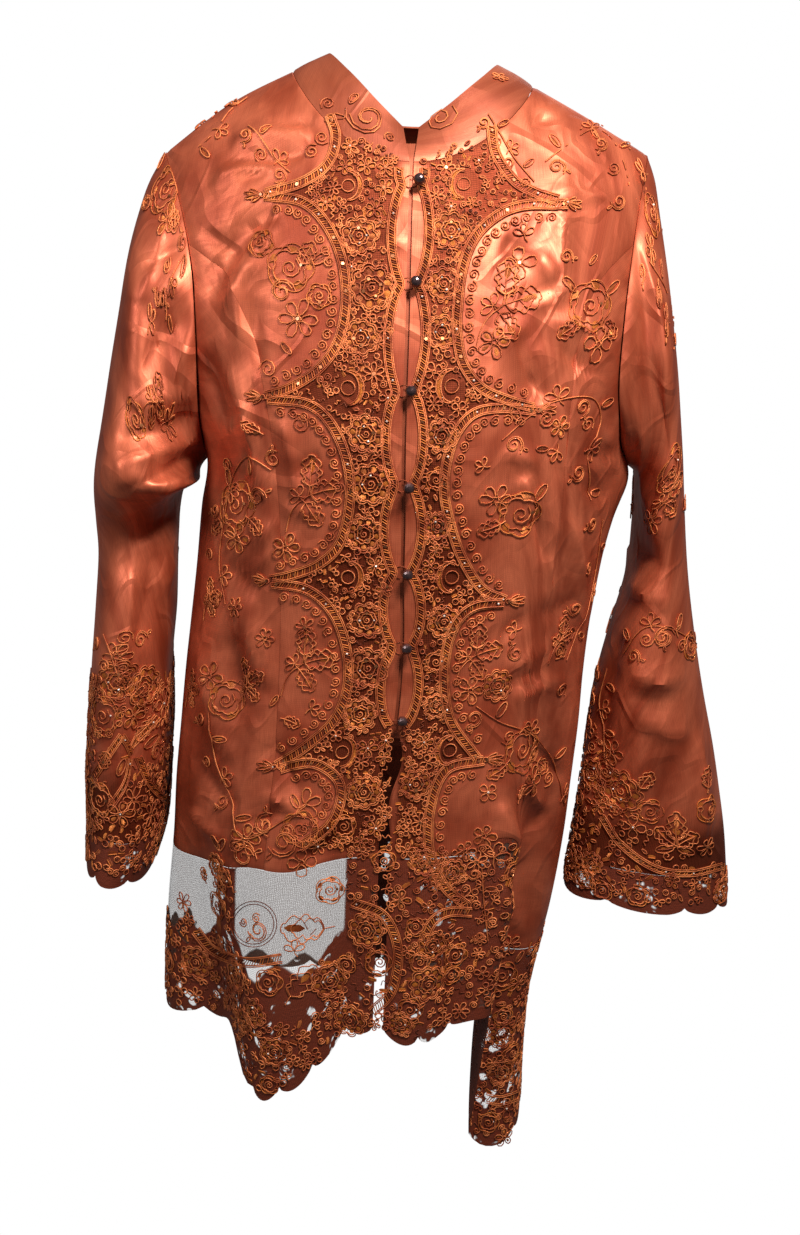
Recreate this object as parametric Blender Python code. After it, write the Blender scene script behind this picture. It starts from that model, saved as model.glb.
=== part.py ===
"""Long lace-trimmed kebaya jacket, filled out as when worn, as closed cloth walls in metres.

+Z is up, the front faces -Y, and the origin lies midway between the two neck points.
Right and left are the wearer's, so the right side is at -X.
"""

import math

import bmesh
import bpy
import numpy as np

for item in list(bpy.context.scene.objects):
    bpy.data.objects.remove(item, do_unlink=True)

# Cloth and seams
CLOTH = 0.0018
LACE = 0.0013
EMBROIDERY = 0.0007
SEAM = 0.0003
FRONT, BACK = -1, 1

# How far down its rings a sleeve is drawn to its armhole, and how fast that fades
HOLD_RINGS, HOLD_FADE = 4.0, 1.5

# How far the collar bows outward, round which point
COLLAR_BOW = 0.0025
COLLAR_CENTRE = (0.0, 0.0, -0.03)

# Heights that part the body
ARMPIT_Z = -0.310
NOTCH_Z = -0.135
NECK_FRONT_Z = -0.076
NECK_BACK_Z = -0.045
NECK_HALF = 0.099

# Mesh counts: rows up the body, columns across it
LOW_ROWS, TOP_ROWS, SIDE_COLUMNS = 15, 6, 6
NECK_COLUMNS, SHOULDER_COLUMNS = 6, 6
FRONT_COLUMNS = NECK_COLUMNS + SHOULDER_COLUMNS
BACK_COLUMNS = 2 * FRONT_COLUMNS
NET_ROWS, EDGE_ROWS, CUFF_ROWS, COLLAR_ROWS = 3, 7, 4, 3
LACE_EDGE = 0.070
SCALLOP_DROP = 0.010
CUFF_DROP = 0.007

# Front opening
EDGE_GAP = 0.0015
LAST_BUTTON_Z = -0.517
SCALLOP_HIGH = 0.076
SCALLOP_DEEP = 0.011
SCALLOP_FADE = 0.100
UNDERLAP_SHARE = 0.75

# Ball buttons
BUTTON_HEIGHTS = (-0.093, -0.169, -0.250, -0.323, -0.393, -0.455, -0.517)
BALL_RADIUS = 0.0047
SHANK_RADIUS = 0.0016
SHANK_LENGTH = 0.0022
BALL_ROWS, BALL_SIDES = 6, 10
BUTTON_SHARE = 0.18


class Table:
    """Rows of named columns, read off smoothly between the rows along the first column."""

    def __init__(self, names, rows):
        order = sorted(rows)
        self.names = names.split()
        self.data = np.array(order, dtype=float)

    def at(self, name, where):
        keys = self.data[:, 0]
        values = self.data[:, self.names.index(name)]
        slopes = np.gradient(values, keys)
        where = np.clip(where, keys[0], keys[-1])
        i = np.clip(np.searchsorted(keys, where) - 1, 0, len(keys) - 2)
        span = keys[i + 1] - keys[i]
        t = (where - keys[i]) / span
        start, end = values[i], values[i + 1]
        bend = (slopes[i] * (1 - t) - slopes[i + 1] * t) * span + (end - start) * (2 * t - 1)
        return start * (1 - t) + end * t + t * (1 - t) * bend


# Body sections: side seams and centre across, half depths front and back
SECTIONS = Table("z right centre left front back", [
    (0.060, -0.236, 0.000, 0.226, 0.105, 0.100),
    (-0.050, -0.229, -0.001, 0.219, 0.108, 0.102),
    (-0.120, -0.221, -0.003, 0.212, 0.115, 0.108),
    (-0.200, -0.208, -0.005, 0.202, 0.122, 0.110),
    (-0.260, -0.196, -0.007, 0.191, 0.126, 0.108),
    (-0.310, -0.179, -0.008, 0.179, 0.126, 0.106),
    (-0.350, -0.185, -0.008, 0.178, 0.122, 0.104),
    (-0.400, -0.191, -0.009, 0.168, 0.117, 0.102),
    (-0.450, -0.198, -0.009, 0.160, 0.113, 0.102),
    (-0.500, -0.205, -0.012, 0.155, 0.112, 0.104),
    (-0.550, -0.211, -0.018, 0.152, 0.113, 0.108),
    (-0.600, -0.217, -0.0225, 0.147, 0.115, 0.112),
    (-0.650, -0.221, -0.0245, 0.142, 0.117, 0.114),
    (-0.720, -0.229, -0.027, 0.131, 0.118, 0.115),
    (-0.800, -0.234, -0.030, 0.113, 0.118, 0.115),
    (-0.880, -0.236, -0.032, 0.107, 0.116, 0.114),
    (-0.980, -0.237, -0.033, 0.107, 0.114, 0.112),
])

# Line over the shoulders, seen from the front
SHOULDERS = Table("x z", [
    (-0.240, -0.080),
    (-0.207, -0.057),
    (-0.150, -0.018),
    (-0.099, 0.006),
    (-0.050, 0.026),
    (0.000, 0.033),
    (0.050, 0.020),
    (0.099, -0.006),
    (0.150, -0.033),
    (0.190, -0.056),
    (0.230, -0.080),
])

# Seams that run down the body, as the distance across at each height
ARMHOLES = Table("z right left", [
    (-0.310, -0.179, 0.179),
    (-0.300, -0.1785, 0.177),
    (-0.285, -0.178, 0.174),
    (-0.260, -0.177, 0.169),
    (-0.200, -0.176, 0.170),
    (-0.150, -0.179, 0.176),
    (-0.100, -0.190, 0.185),
    (-0.050, -0.209, 0.198),
])
PRINCESS = Table("z right left", [
    (-0.960, -0.132, 0.070),
    (-0.660, -0.125, 0.096),
    (-0.580, -0.118, 0.103),
    (-0.450, -0.110, 0.111),
    (-0.325, -0.109, 0.121),
    (-0.245, -0.119, 0.127),
    (-0.200, -0.130, 0.134),
    (-0.160, -0.150, 0.152),
    (-0.135, -0.1805, 0.1785),
])
TIP_X = {-1: -0.206, 1: 0.193}

# Hem heights round the body: turn goes from -1 at the right side seam to 1 at the left one
FRONT_HEMS = Table("turn cloth lace", [
    (-1.00, -0.665, -0.815),
    (-0.62, -0.660, -0.808),
    (-0.45, -0.655, -0.810),
    (-0.39, -0.652, -0.842),
    (-0.24, -0.650, -0.846),
    (-0.17, -0.643, -0.828),
    (-0.09, -0.638, -0.795),
    (0.00, -0.638, -0.793),
    (0.135, -0.638, -0.800),
    (0.25, -0.638, -0.794),
    (0.455, -0.648, -0.815),
    (0.525, -0.722, -0.903),
    (0.62, -0.745, -0.938),
    (0.76, -0.752, -0.938),
    (1.00, -0.752, -0.905),
])
BACK_HEMS = Table("turn cloth lace", [
    (-1.00, -0.665, -0.815),
    (-0.50, -0.672, -0.832),
    (0.00, -0.692, -0.852),
    (0.50, -0.722, -0.880),
    (1.00, -0.752, -0.905),
])

# Folds of the body: where they lie at the hem, how wide in turn, how far out, and from where to where
FOLDS = Table("row face turn wide out start full lean", [
    (1, FRONT, -0.60, 0.14, -0.024, -0.56, -0.80, 0.10),
    (2, FRONT, -0.29, 0.10, 0.014, -0.50, -0.80, 0.02),
    (3, FRONT, -0.11, 0.06, -0.008, -0.58, -0.80, 0.00),
    (4, FRONT, 0.15, 0.08, 0.008, -0.56, -0.78, 0.00),
    (5, FRONT, 0.40, 0.07, 0.016, -0.44, -0.72, 0.05),
    (6, FRONT, 0.59, 0.10, -0.030, -0.48, -0.76, 0.03),
    (7, BACK, -0.62, 0.13, 0.012, -0.46, -0.76, 0.00),
    (8, BACK, -0.28, 0.12, -0.012, -0.50, -0.78, 0.00),
    (9, BACK, 0.06, 0.12, 0.013, -0.48, -0.78, 0.00),
    (10, BACK, 0.38, 0.12, -0.013, -0.50, -0.80, 0.00),
    (11, BACK, 0.70, 0.12, 0.012, -0.46, -0.76, 0.00),
])
SIDE_BULGE = {"z": -0.325, "high": 0.026, "wide": 0.13, "out": 0.012}

# Sleeve rings down the arm: outer line, inner line, middle and half depth front to back
RIGHT_SLEEVE = Table("ring outx outz inx inz mid deep", [
    (0, -0.2060, -0.0570, -0.1800, -0.3110, 0.000, 0.062),
    (1, -0.2190, -0.0770, -0.1830, -0.3140, 0.000, 0.068),
    (2, -0.2280, -0.0980, -0.1850, -0.3165, 0.000, 0.072),
    (3, -0.2370, -0.1300, -0.1865, -0.3190, -0.001, 0.075),
    (4, -0.2460, -0.1760, -0.1875, -0.3215, -0.003, 0.078),
    (5, -0.2560, -0.2260, -0.1880, -0.3240, -0.006, 0.080),
    (6, -0.2650, -0.2780, -0.1880, -0.3270, -0.010, 0.082),
    (7, -0.2730, -0.3280, -0.1900, -0.3310, -0.012, 0.082),
    (8, -0.2780, -0.3640, -0.2030, -0.3400, 0.002, 0.072),
    (9, -0.2800, -0.4000, -0.2070, -0.3800, 0.010, 0.070),
    (10, -0.2840, -0.4450, -0.2110, -0.4400, 0.010, 0.072),
    (11, -0.2890, -0.4950, -0.2200, -0.4950, 0.008, 0.073),
    (12, -0.2940, -0.5450, -0.2230, -0.5500, 0.006, 0.074),
    (13, -0.2980, -0.5950, -0.2270, -0.6050, 0.005, 0.075),
    (14, -0.2990, -0.6320, -0.2320, -0.6520, 0.005, 0.076),
    (15, -0.3010, -0.6670, -0.2430, -0.6880, 0.005, 0.077),
])
LEFT_SLEEVE = Table("ring outx outz inx inz mid deep", [
    (0, 0.1930, -0.0575, 0.1800, -0.3110, 0.000, 0.062),
    (1, 0.2010, -0.0770, 0.1830, -0.3140, 0.002, 0.066),
    (2, 0.2070, -0.1020, 0.1860, -0.3170, 0.006, 0.068),
    (3, 0.2140, -0.1400, 0.1930, -0.3200, 0.010, 0.068),
    (4, 0.2210, -0.1850, 0.1985, -0.3240, 0.014, 0.068),
    (5, 0.2290, -0.2350, 0.2020, -0.3300, 0.018, 0.067),
    (6, 0.2370, -0.2950, 0.2035, -0.3450, 0.022, 0.066),
    (7, 0.2440, -0.3550, 0.2030, -0.3750, 0.026, 0.064),
    (8, 0.2510, -0.4150, 0.1990, -0.4200, 0.028, 0.062),
    (9, 0.2600, -0.4700, 0.1850, -0.4700, 0.028, 0.060),
    (10, 0.2710, -0.5250, 0.1730, -0.5200, 0.028, 0.058),
    (11, 0.2830, -0.5780, 0.1670, -0.5680, 0.028, 0.056),
    (12, 0.2920, -0.6250, 0.1620, -0.6130, 0.028, 0.054),
    (13, 0.2990, -0.6650, 0.1570, -0.6530, 0.028, 0.053),
    (14, 0.3030, -0.7000, 0.1520, -0.6870, 0.028, 0.052),
    (15, 0.3060, -0.7330, 0.1480, -0.7180, 0.028, 0.052),
])
LAST_SLEEVE_RING = 14
SLEEVE_ROWS = 24

# Soft folds of the sleeves: ring, place round the arm in turns from the outer line, how far out
SLEEVE_FOLDS = {
    -1: Table("row ring round long wide out", [
        (1, 3.5, 0.20, 1.0, 0.10, 0.005),
        (2, 6.6, 0.30, 0.7, 0.16, 0.009),
        (3, 8.6, 0.30, 0.6, 0.16, -0.008),
        (4, 10.6, 0.22, 1.0, 0.09, 0.006),
        (5, 12.5, 0.72, 1.4, 0.10, 0.007),
        (6, 9.5, 0.60, 1.2, 0.12, -0.006),
    ]),
    1: Table("row ring round long wide out", [
        (1, 4.0, 0.24, 1.3, 0.08, 0.006),
        (2, 7.5, 0.20, 1.1, 0.09, -0.006),
        (3, 9.5, 0.30, 0.9, 0.10, 0.007),
        (4, 12.0, 0.17, 1.4, 0.08, 0.006),
        (5, 12.5, 0.34, 1.4, 0.08, -0.006),
        (6, 10.5, 0.74, 1.6, 0.12, 0.008),
    ]),
}

# Top edge of the collar, from its right end round the back to its left end
COLLAR_TOP = Table("turn x y z", [
    (-1.00, -0.0080, -0.0620, -0.0470),
    (-0.80, -0.0280, -0.0580, -0.0270),
    (-0.62, -0.0520, -0.0400, 0.0000),
    (-0.50, -0.0690, -0.0040, 0.0200),
    (-0.38, -0.0620, 0.0260, 0.0060),
    (-0.20, -0.0380, 0.0440, -0.0200),
    (0.00, 0.0000, 0.0500, -0.0280),
    (0.20, 0.0380, 0.0440, -0.0230),
    (0.38, 0.0620, 0.0260, -0.0020),
    (0.50, 0.0700, -0.0040, 0.0110),
    (0.62, 0.0540, -0.0400, -0.0060),
    (0.80, 0.0280, -0.0580, -0.0290),
    (1.00, 0.0040, -0.0620, -0.0470),
])


def side_name(side):
    return "right" if side < 0 else "left"


def unit(vectors):
    return vectors / np.maximum(np.linalg.norm(vectors, axis=-1, keepdims=True), 1e-12)


def soft_step(t):
    t = np.clip(t, 0.0, 1.0)
    return t * t * (3 - 2 * t)


def turn_of(x, z):
    """Turn round the body, from -1 to 1, of a point at x across and z up."""
    centre = SECTIONS.at("centre", z)
    half = np.where(x < centre, centre - SECTIONS.at("right", z), SECTIONS.at("left", z) - centre)
    return np.arcsin(np.clip((x - centre) / half, -1, 1)) * 2 / math.pi


def fold_push(turn, z, face):
    """How far the body's folds stand out of its plain form."""
    push = np.zeros_like(z)
    for row in FOLDS.data:
        _, side, place, wide, out, start, full, lean = row
        grow = soft_step((start - z) / (start - full))
        middle = place - lean * (1 - grow)
        push += (face == side) * out * grow * np.exp(-(((turn - middle) / wide) ** 2))
    off_side = (1 - turn) / SIDE_BULGE["wide"]
    off_middle = (z - SIDE_BULGE["z"]) / SIDE_BULGE["high"]
    return push + SIDE_BULGE["out"] * np.exp(-(off_side**2) - off_middle**2)


def body(turn, z, face):
    """Outer cloth of the body. Past a side seam or a shoulder it goes on round the other face."""
    turn, z, face = (np.array(v, dtype=float) for v in np.broadcast_arrays(turn, z, face))
    past = np.abs(turn) > 1
    turn = np.where(past, np.sign(turn) * 2 - turn, turn)
    face = np.where(past, -face, face)
    centre = SECTIONS.at("centre", z)
    side = np.where(turn < 0, SECTIONS.at("right", z), SECTIONS.at("left", z))
    sine = np.sin(turn * math.pi / 2)
    cosine = np.cos(turn * math.pi / 2)
    x = centre + (side - centre) * np.abs(sine)
    crest = SHOULDERS.at("z", x)
    past = z > crest
    z = np.where(past, 2 * crest - z, z)
    face = np.where(past, -face, face)
    rise = np.clip((z - ARMPIT_Z) / (crest - ARMPIT_Z), 0, 1)
    close = np.sqrt(1 - rise**2.5)
    deep = np.where(face < 0, SECTIONS.at("front", z), SECTIONS.at("back", z))
    y = face * deep * cosine * (1 + 0.15 * sine**2) * close
    push = fold_push(turn, z, face)
    return np.stack([x + push * sine, y + push * face * cosine, z], axis=-1)


def body_normal(turn, z, face):
    """Outward direction of the body's cloth, from points 2 mm either way."""
    step_turn, step_z = 0.01, 0.002
    across = body(turn + step_turn, z, face) - body(turn - step_turn, z, face)
    up = body(turn, z + step_z, face) - body(turn, z - step_z, face)
    face = np.broadcast_to(np.array(face, dtype=float), np.shape(turn))[..., None]
    return unit(np.cross(across, up) * -face)


def blend_edges(bottom, top, inner, outer):
    """Grid of flat points between four edges that share their corners, by Coons' rule."""
    u = np.linspace(0, 1, len(bottom))[None, :, None]
    v = np.linspace(0, 1, len(inner))[:, None, None]
    ruled = (1 - v) * bottom[None] + v * top[None] + (1 - u) * inner[:, None] + u * outer[:, None]
    corners = (1 - u) * (1 - v) * bottom[0] + u * (1 - v) * bottom[-1]
    return ruled - corners - (1 - u) * v * top[0] - u * v * top[-1]


def inset(points, rows=(True, True), columns=(True, True)):
    """Draws the chosen edges of a grid in by half a seam's gap."""
    points = points.copy()
    for chosen, edge, inside in ((rows[0], 0, 1), (rows[1], -1, -2)):
        if chosen:
            points[edge] += unit(points[inside] - points[edge]) * SEAM / 2
    for chosen, edge, inside in ((columns[0], 0, 1), (columns[1], -1, -2)):
        if chosen:
            points[:, edge] += unit(points[:, inside] - points[:, edge]) * SEAM / 2
    return points


def grid_normals(points, wrap):
    """Directions across a grid's two runs, by differences, closed round where it wraps."""
    if wrap:
        across = np.roll(points, -1, axis=1) - np.roll(points, 1, axis=1)
    else:
        across = np.gradient(points, axis=1)
    return unit(np.cross(across, np.gradient(points, axis=0)))


def make_material(name, colour, rough, metal=0.0):
    material = bpy.data.materials.new(name)
    material.use_nodes = True
    shader = material.node_tree.nodes["Principled BSDF"]
    shader.inputs["Base Color"].default_value = (*colour, 1)
    shader.inputs["Roughness"].default_value = rough
    shader.inputs["Metallic"].default_value = metal
    return material


SATIN = make_material("copper_satin", (0.46, 0.13, 0.045), 0.35)
COLLAR_SATIN = make_material("collar_satin", (0.50, 0.16, 0.06), 0.35)
NET = make_material("embroidered_net", (0.34, 0.09, 0.03), 0.60)
METAL = make_material("button_metal", (0.30, 0.22, 0.20), 0.30, 0.8)


def wall(name, outer, inward, thick, material, wrap=False, holes=()):
    """Closed cloth wall between a grid of outer points and the same points moved inward."""
    rows, columns = outer.shape[:2]
    inner = outer + inward * (thick if np.isscalar(thick) else thick[..., None])
    mesh = bmesh.new()
    points = [mesh.verts.new(p) for p in np.concatenate([outer.reshape(-1, 3), inner.reshape(-1, 3)])]
    far = rows * columns
    cells = set()
    for row in range(rows - 1):
        for column in range(columns if wrap else columns - 1):
            if (row, column) not in holes:
                cells.add((row, column))
    ring = {}
    for row, column in sorted(cells):
        after = (column + 1) % columns
        face = [row * columns + column, row * columns + after,
                (row + 1) * columns + after, (row + 1) * columns + column]
        mesh.faces.new([points[i] for i in face])
        mesh.faces.new([points[far + i] for i in reversed(face)])
        for start, end in zip(face, face[1:] + face[:1]):
            ring[(start, end)] = True
    for start, end in sorted(ring):
        if (end, start) not in ring:
            mesh.faces.new([points[end], points[start], points[far + start], points[far + end]])
    loose = [v for v in mesh.verts if not v.link_faces]
    bmesh.ops.delete(mesh, geom=loose, context="VERTS")
    bmesh.ops.triangulate(mesh, faces=mesh.faces)
    if mesh.calc_volume(signed=True) < 0:
        bmesh.ops.reverse_faces(mesh, faces=mesh.faces)
    data = bpy.data.meshes.new(name)
    mesh.to_mesh(data)
    mesh.free()
    data.materials.append(material)
    data.shade_smooth()
    item = bpy.data.objects.new(name, data)
    bpy.context.collection.objects.link(item)
    return item


def hem_of(face):
    return FRONT_HEMS if face < 0 else BACK_HEMS


def edge_turn(side, z):
    """Turn of a front edge: straight beside the buttons, in scallops below the last one."""
    below = np.maximum(LAST_BUTTON_Z - z, 0)
    wave = np.sin(math.pi * below / SCALLOP_HIGH) ** 2
    bite = SCALLOP_DEEP * wave * np.exp(-below / SCALLOP_FADE)
    centre = SECTIONS.at("centre", z)
    half = np.abs(SECTIONS.at(side_name(side), z) - centre)
    return side * (EDGE_GAP + bite) / half * 2 / math.pi


def seam_points(table, side, heights):
    x = table.at(side_name(side), heights)
    return np.stack([turn_of(x, heights), heights], axis=-1)


def armhole_heights():
    """Heights down the armhole from the shoulder tip, closer together under the arm."""
    bow = 1 - np.cos(np.linspace(0, math.pi / 2, SIDE_COLUMNS + 1))
    return ARMPIT_Z + (NOTCH_Z - ARMPIT_Z) * bow


def armhole_points(side):
    """Armhole from the armpit up to the shoulder tip."""
    lower = seam_points(ARMHOLES, side, armhole_heights())
    lower[0] = (side, ARMPIT_Z)
    tip = float(SHOULDERS.at("z", TIP_X[side]))
    upper = seam_points(ARMHOLES, side, np.linspace(NOTCH_Z, tip, TOP_ROWS + 1))
    upper[-1] = (turn_of(TIP_X[side], tip), tip)
    return lower, upper


def shoulder_points(side):
    """Shoulder seam from the neck point out to the tip."""
    x = np.linspace(side * NECK_HALF, TIP_X[side], SHOULDER_COLUMNS + 1)
    z = SHOULDERS.at("z", x)
    return np.stack([turn_of(x, z), z], axis=-1)


def neckline_points(side, face):
    """Neckline from the middle out to the neck point."""
    bow = np.linspace(0, math.pi / 2, NECK_COLUMNS + 1)
    x = side * NECK_HALF * np.sin(bow)
    low = NECK_FRONT_Z if face < 0 else NECK_BACK_Z
    end = float(SHOULDERS.at("z", side * NECK_HALF))
    z = end + (low - end) * np.cos(bow) ** (1.6 if face < 0 else 1.2)
    z[-1] = end
    return np.stack([turn_of(x, z), z], axis=-1)


def hem_edge(turns, face, column="cloth"):
    return np.stack([turns, hem_of(face).at(column, turns)], axis=-1)


def level_rows(low, high):
    return np.linspace(low, high, LOW_ROWS + 1)


def princess_foot(side):
    """Turn where the princess seam meets the cloth's hem."""
    z = -0.66
    for _ in range(4):
        turn = turn_of(PRINCESS.at(side_name(side), z), z)
        z = float(FRONT_HEMS.at("cloth", turn))
    return float(turn)


def princess_edge(side):
    foot = princess_foot(side)
    heights = level_rows(float(FRONT_HEMS.at("cloth", foot)), NOTCH_Z)
    points = seam_points(PRINCESS, side, heights)
    points[0] = (foot, heights[0])
    points[-1] = armhole_points(side)[1][0]
    return points


def side_edge(side):
    heights = level_rows(float(FRONT_HEMS.at("cloth", side)), ARMPIT_Z)
    return np.stack([np.full_like(heights, side), heights], axis=-1)


def join(*runs):
    """One run of points from several that share their ends."""
    return np.concatenate([runs[0]] + [run[1:] for run in runs[1:]])


def front_centre_flat(side):
    upper = armhole_points(side)[1]
    outer = join(princess_edge(side), upper)
    share = np.linspace(0, 1, len(outer))
    low = float(FRONT_HEMS.at("cloth", 0.0))
    knee = LOW_ROWS / len(outer)
    heights = np.interp(share, [0, knee, 1], [low, -0.185, NECK_FRONT_Z])
    inner = np.stack([edge_turn(side, heights), heights], axis=-1)
    neck = neckline_points(side, FRONT)
    neck[0] = inner[-1]
    top = join(neck, shoulder_points(side))
    turns = np.linspace(inner[0, 0], outer[0, 0], FRONT_COLUMNS + 1)
    bottom = hem_edge(turns, FRONT)
    inner[0] = bottom[0]
    outer[0] = bottom[-1]
    return blend_edges(bottom, top, inner, outer)


def front_side_flat(side):
    inner = princess_edge(side)
    outer = side_edge(side)
    top = armhole_points(side)[0][::-1]
    turns = np.linspace(inner[0, 0], side, SIDE_COLUMNS + 1)
    return blend_edges(hem_edge(turns, FRONT), top, inner, outer)


def back_flat():
    sides = {}
    for side in (-1, 1):
        lower, upper = armhole_points(side)
        sides[side] = join(side_edge(side), lower, upper)
    top = join(
        shoulder_points(-1)[::-1],
        neckline_points(-1, BACK)[::-1],
        neckline_points(1, BACK),
        shoulder_points(1),
    )
    turns = np.linspace(-1, 1, BACK_COLUMNS + 1)
    return blend_edges(hem_edge(turns, BACK), top, sides[-1], sides[1])


def dense_lace(flat):
    """Share of raised embroidery: full beside the front edges and above the cloth's hem."""
    turn, z = flat[..., 0], flat[..., 1]
    band = soft_step((0.42 - np.abs(turn)) / 0.12)
    foot = soft_step((-0.56 - z) / 0.05)
    return np.maximum(band, foot)


def panel(name, flat, face):
    """One panel of the body, raised outward where its embroidery is dense."""
    turn, z = flat[..., 0], flat[..., 1]
    normals = body_normal(turn, z, face)
    plain = inset(body(turn, z, face))
    raised = EMBROIDERY * dense_lace(flat) if face < 0 else np.zeros(turn.shape)
    raised[-1] = 0
    outer = plain + normals * raised[..., None]
    wall(name, outer, -normals, CLOTH + raised, SATIN)
    return plain, normals, raised


def hem_lace(name, turns, face):
    """Net and scalloped lace below the cloth, with its largest gaps cut through."""
    count = len(turns)
    cloth = hem_of(face).at("cloth", turns)
    lace = hem_of(face).at("lace", turns)
    scallop = np.array([0.0 if column % 3 == 0 else 1.0 for column in range(count)])
    rows = []
    for share in np.linspace(0, 1, NET_ROWS + 1)[:-1]:
        rows.append(cloth + (lace + LACE_EDGE - cloth) * share)
    for share in np.linspace(0, 1, EDGE_ROWS + 1):
        rows.append(lace + LACE_EDGE * (1 - share) - SCALLOP_DROP * scallop * share**3)
    heights = np.array(rows[::-1])
    flat_turns = np.broadcast_to(turns, heights.shape)
    points = inset(body(flat_turns, heights, face), rows=(False, True))
    points[-1, :, 2] -= 1.5 * SEAM
    normals = body_normal(flat_turns, heights, face)
    holes = set()
    for column in range(1, count - 2):
        if column % 3 == 1:
            holes.update({(1, column), (5, column)})
        elif column % 3 == 0:
            holes.add((3, column))
    wall(name, points, -normals, LACE, NET, holes=holes)


def sleeve_surface(side, rings, rounds):
    """Outer points of a sleeve: rings down the arm, and places round it from the outer line."""
    table = RIGHT_SLEEVE if side < 0 else LEFT_SLEEVE
    ring = np.asarray(rings, dtype=float)[:, None]
    angle = np.asarray(rounds, dtype=float)[None, :] * 2 * math.pi
    out = np.stack([table.at("outx", ring), table.at("mid", ring), table.at("outz", ring)], axis=-1)
    inn = np.stack([table.at("inx", ring), table.at("mid", ring), table.at("inz", ring)], axis=-1)
    middle = (out + inn) / 2
    reach = (out - inn) / 2
    deep = table.at("deep", ring)
    cosine, sine = np.cos(angle)[..., None], np.sin(angle)[..., None]
    push = np.zeros(np.broadcast_shapes(ring.shape, angle.shape))
    for _, at_ring, place, long, wide, amount in SLEEVE_FOLDS[side].data:
        off = np.abs(np.asarray(rounds)[None, :] - place)
        off = np.minimum(off, 1 - off) / wide
        push += amount * np.exp(-(((ring - at_ring) / long) ** 2) - off**2)
    y = np.array([0.0, -1.0, 0.0])
    points = middle + reach * cosine + y * sine * deep[..., None]
    return points + push[..., None] * unit(unit(reach) * cosine + y * sine)


def armhole_ring(side):
    """Armhole seam all round, from the shoulder tip down the front and up the back."""
    lower, upper = armhole_points(side)
    down = join(lower, upper)[::-1]
    turn = np.concatenate([down[:, 0], down[-2:0:-1, 0]])
    z = np.concatenate([down[:, 1], down[-2:0:-1, 1]])
    face = np.where(np.arange(len(turn)) < len(down) - 1, FRONT, BACK)
    points = body(turn, z, face)
    normals = body_normal(turn, z, face)
    return points, normals


def ring_rounds(side):
    """Place round the sleeve that each armhole point leads to."""
    lower, upper = armhole_points(side)
    down = join(lower, upper)[::-1]
    points = body(down[:, 0], down[:, 1], FRONT)
    steps = np.linalg.norm(np.diff(points, axis=0), axis=1)
    half = np.concatenate([[0], np.cumsum(steps)]) / steps.sum() / 2
    even = np.linspace(0, 0.5, len(half))
    half = (half + even) / 2
    return np.concatenate([half, 1 - half[-2:0:-1]])


def sleeve_grid(side):
    """Outer points and inward directions of a sleeve, from its armhole to the lace."""
    seam, body_out = armhole_ring(side)
    rounds = ring_rounds(side)
    rings = np.concatenate([np.linspace(0, 1, 3)[:-1], np.linspace(1, LAST_SLEEVE_RING, SLEEVE_ROWS - 1)])
    points = sleeve_surface(side, rings, rounds)
    offset = seam - points[0]
    for row, ring in enumerate(rings):
        hold = (1 - soft_step(ring / HOLD_RINGS)) ** HOLD_FADE
        points[row] += offset * hold
    out = grid_normals(points, wrap=True)
    if np.sum(out[8] * (points[8] - points[8].mean(axis=0))) < 0:
        out = -out
    share = (1 + np.cos(rounds * 2 * math.pi))[:, None] / 2
    along = np.roll(seam, -1, axis=0) - np.roll(seam, 1, axis=0)
    away = unit(np.cross(body_out, along)) * side
    points[0] = seam + SEAM * away + 2 * SEAM * body_out * (1 - share)
    out[0] = unit(body_out * share + out[0] * (1 - share))
    return points, -out, rounds


def build_sleeve(side):
    name = side_name(side)
    points, inward, rounds = sleeve_grid(side)
    wall(f"sleeve_{name}", points[::-1], inward[::-1], CLOTH, SATIN, wrap=True)
    rows = np.linspace(LAST_SLEEVE_RING, LAST_SLEEVE_RING + 1.0, CUFF_ROWS + 1)
    lace = sleeve_surface(side, rows, rounds)
    lace[0] += unit(lace[1] - lace[0]) * SEAM
    drop = unit(lace[-1] - lace[-2])
    scallop = np.array([0.0 if column % 3 == 0 else CUFF_DROP for column in range(len(rounds))])
    lace[-1] += drop * scallop[:, None]
    out = grid_normals(lace, wrap=True)
    if np.sum(out[1] * (lace[1] - lace[1].mean(axis=0))) < 0:
        out = -out
    half = len(rounds) // 2
    spans = {"front": np.arange(0, half + 1), "back": np.arange(half, 2 * half + 1) % len(rounds)}
    for part, columns in spans.items():
        piece = inset(lace[:, columns], rows=(False, False))
        holes = {(row, c) for row, first in ((2, 1), (0, 2)) for c in range(first, half - 1, 3)}
        wall(f"cuff_lace_{name}_{part}", piece[::-1], -out[:, columns][::-1], LACE, NET,
             holes={(CUFF_ROWS - 1 - row, c) for row, c in holes})


def neck_ring():
    """Neckline all round, from the right front edge past the back to the left front edge."""
    runs = []
    for side in (-1, 1):
        front = neckline_points(side, FRONT)
        front[0] = (edge_turn(side, NECK_FRONT_Z), NECK_FRONT_Z)
        back = neckline_points(side, BACK)
        runs.append((front, back))
    right_front, right_back = runs[0]
    left_front, left_back = runs[1]
    flat = join(right_front, right_back[::-1], left_back, left_front[::-1])
    face = np.full(len(flat), BACK)
    face[: NECK_COLUMNS + 1] = FRONT
    face[-NECK_COLUMNS - 1:] = FRONT
    return flat, face


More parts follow.
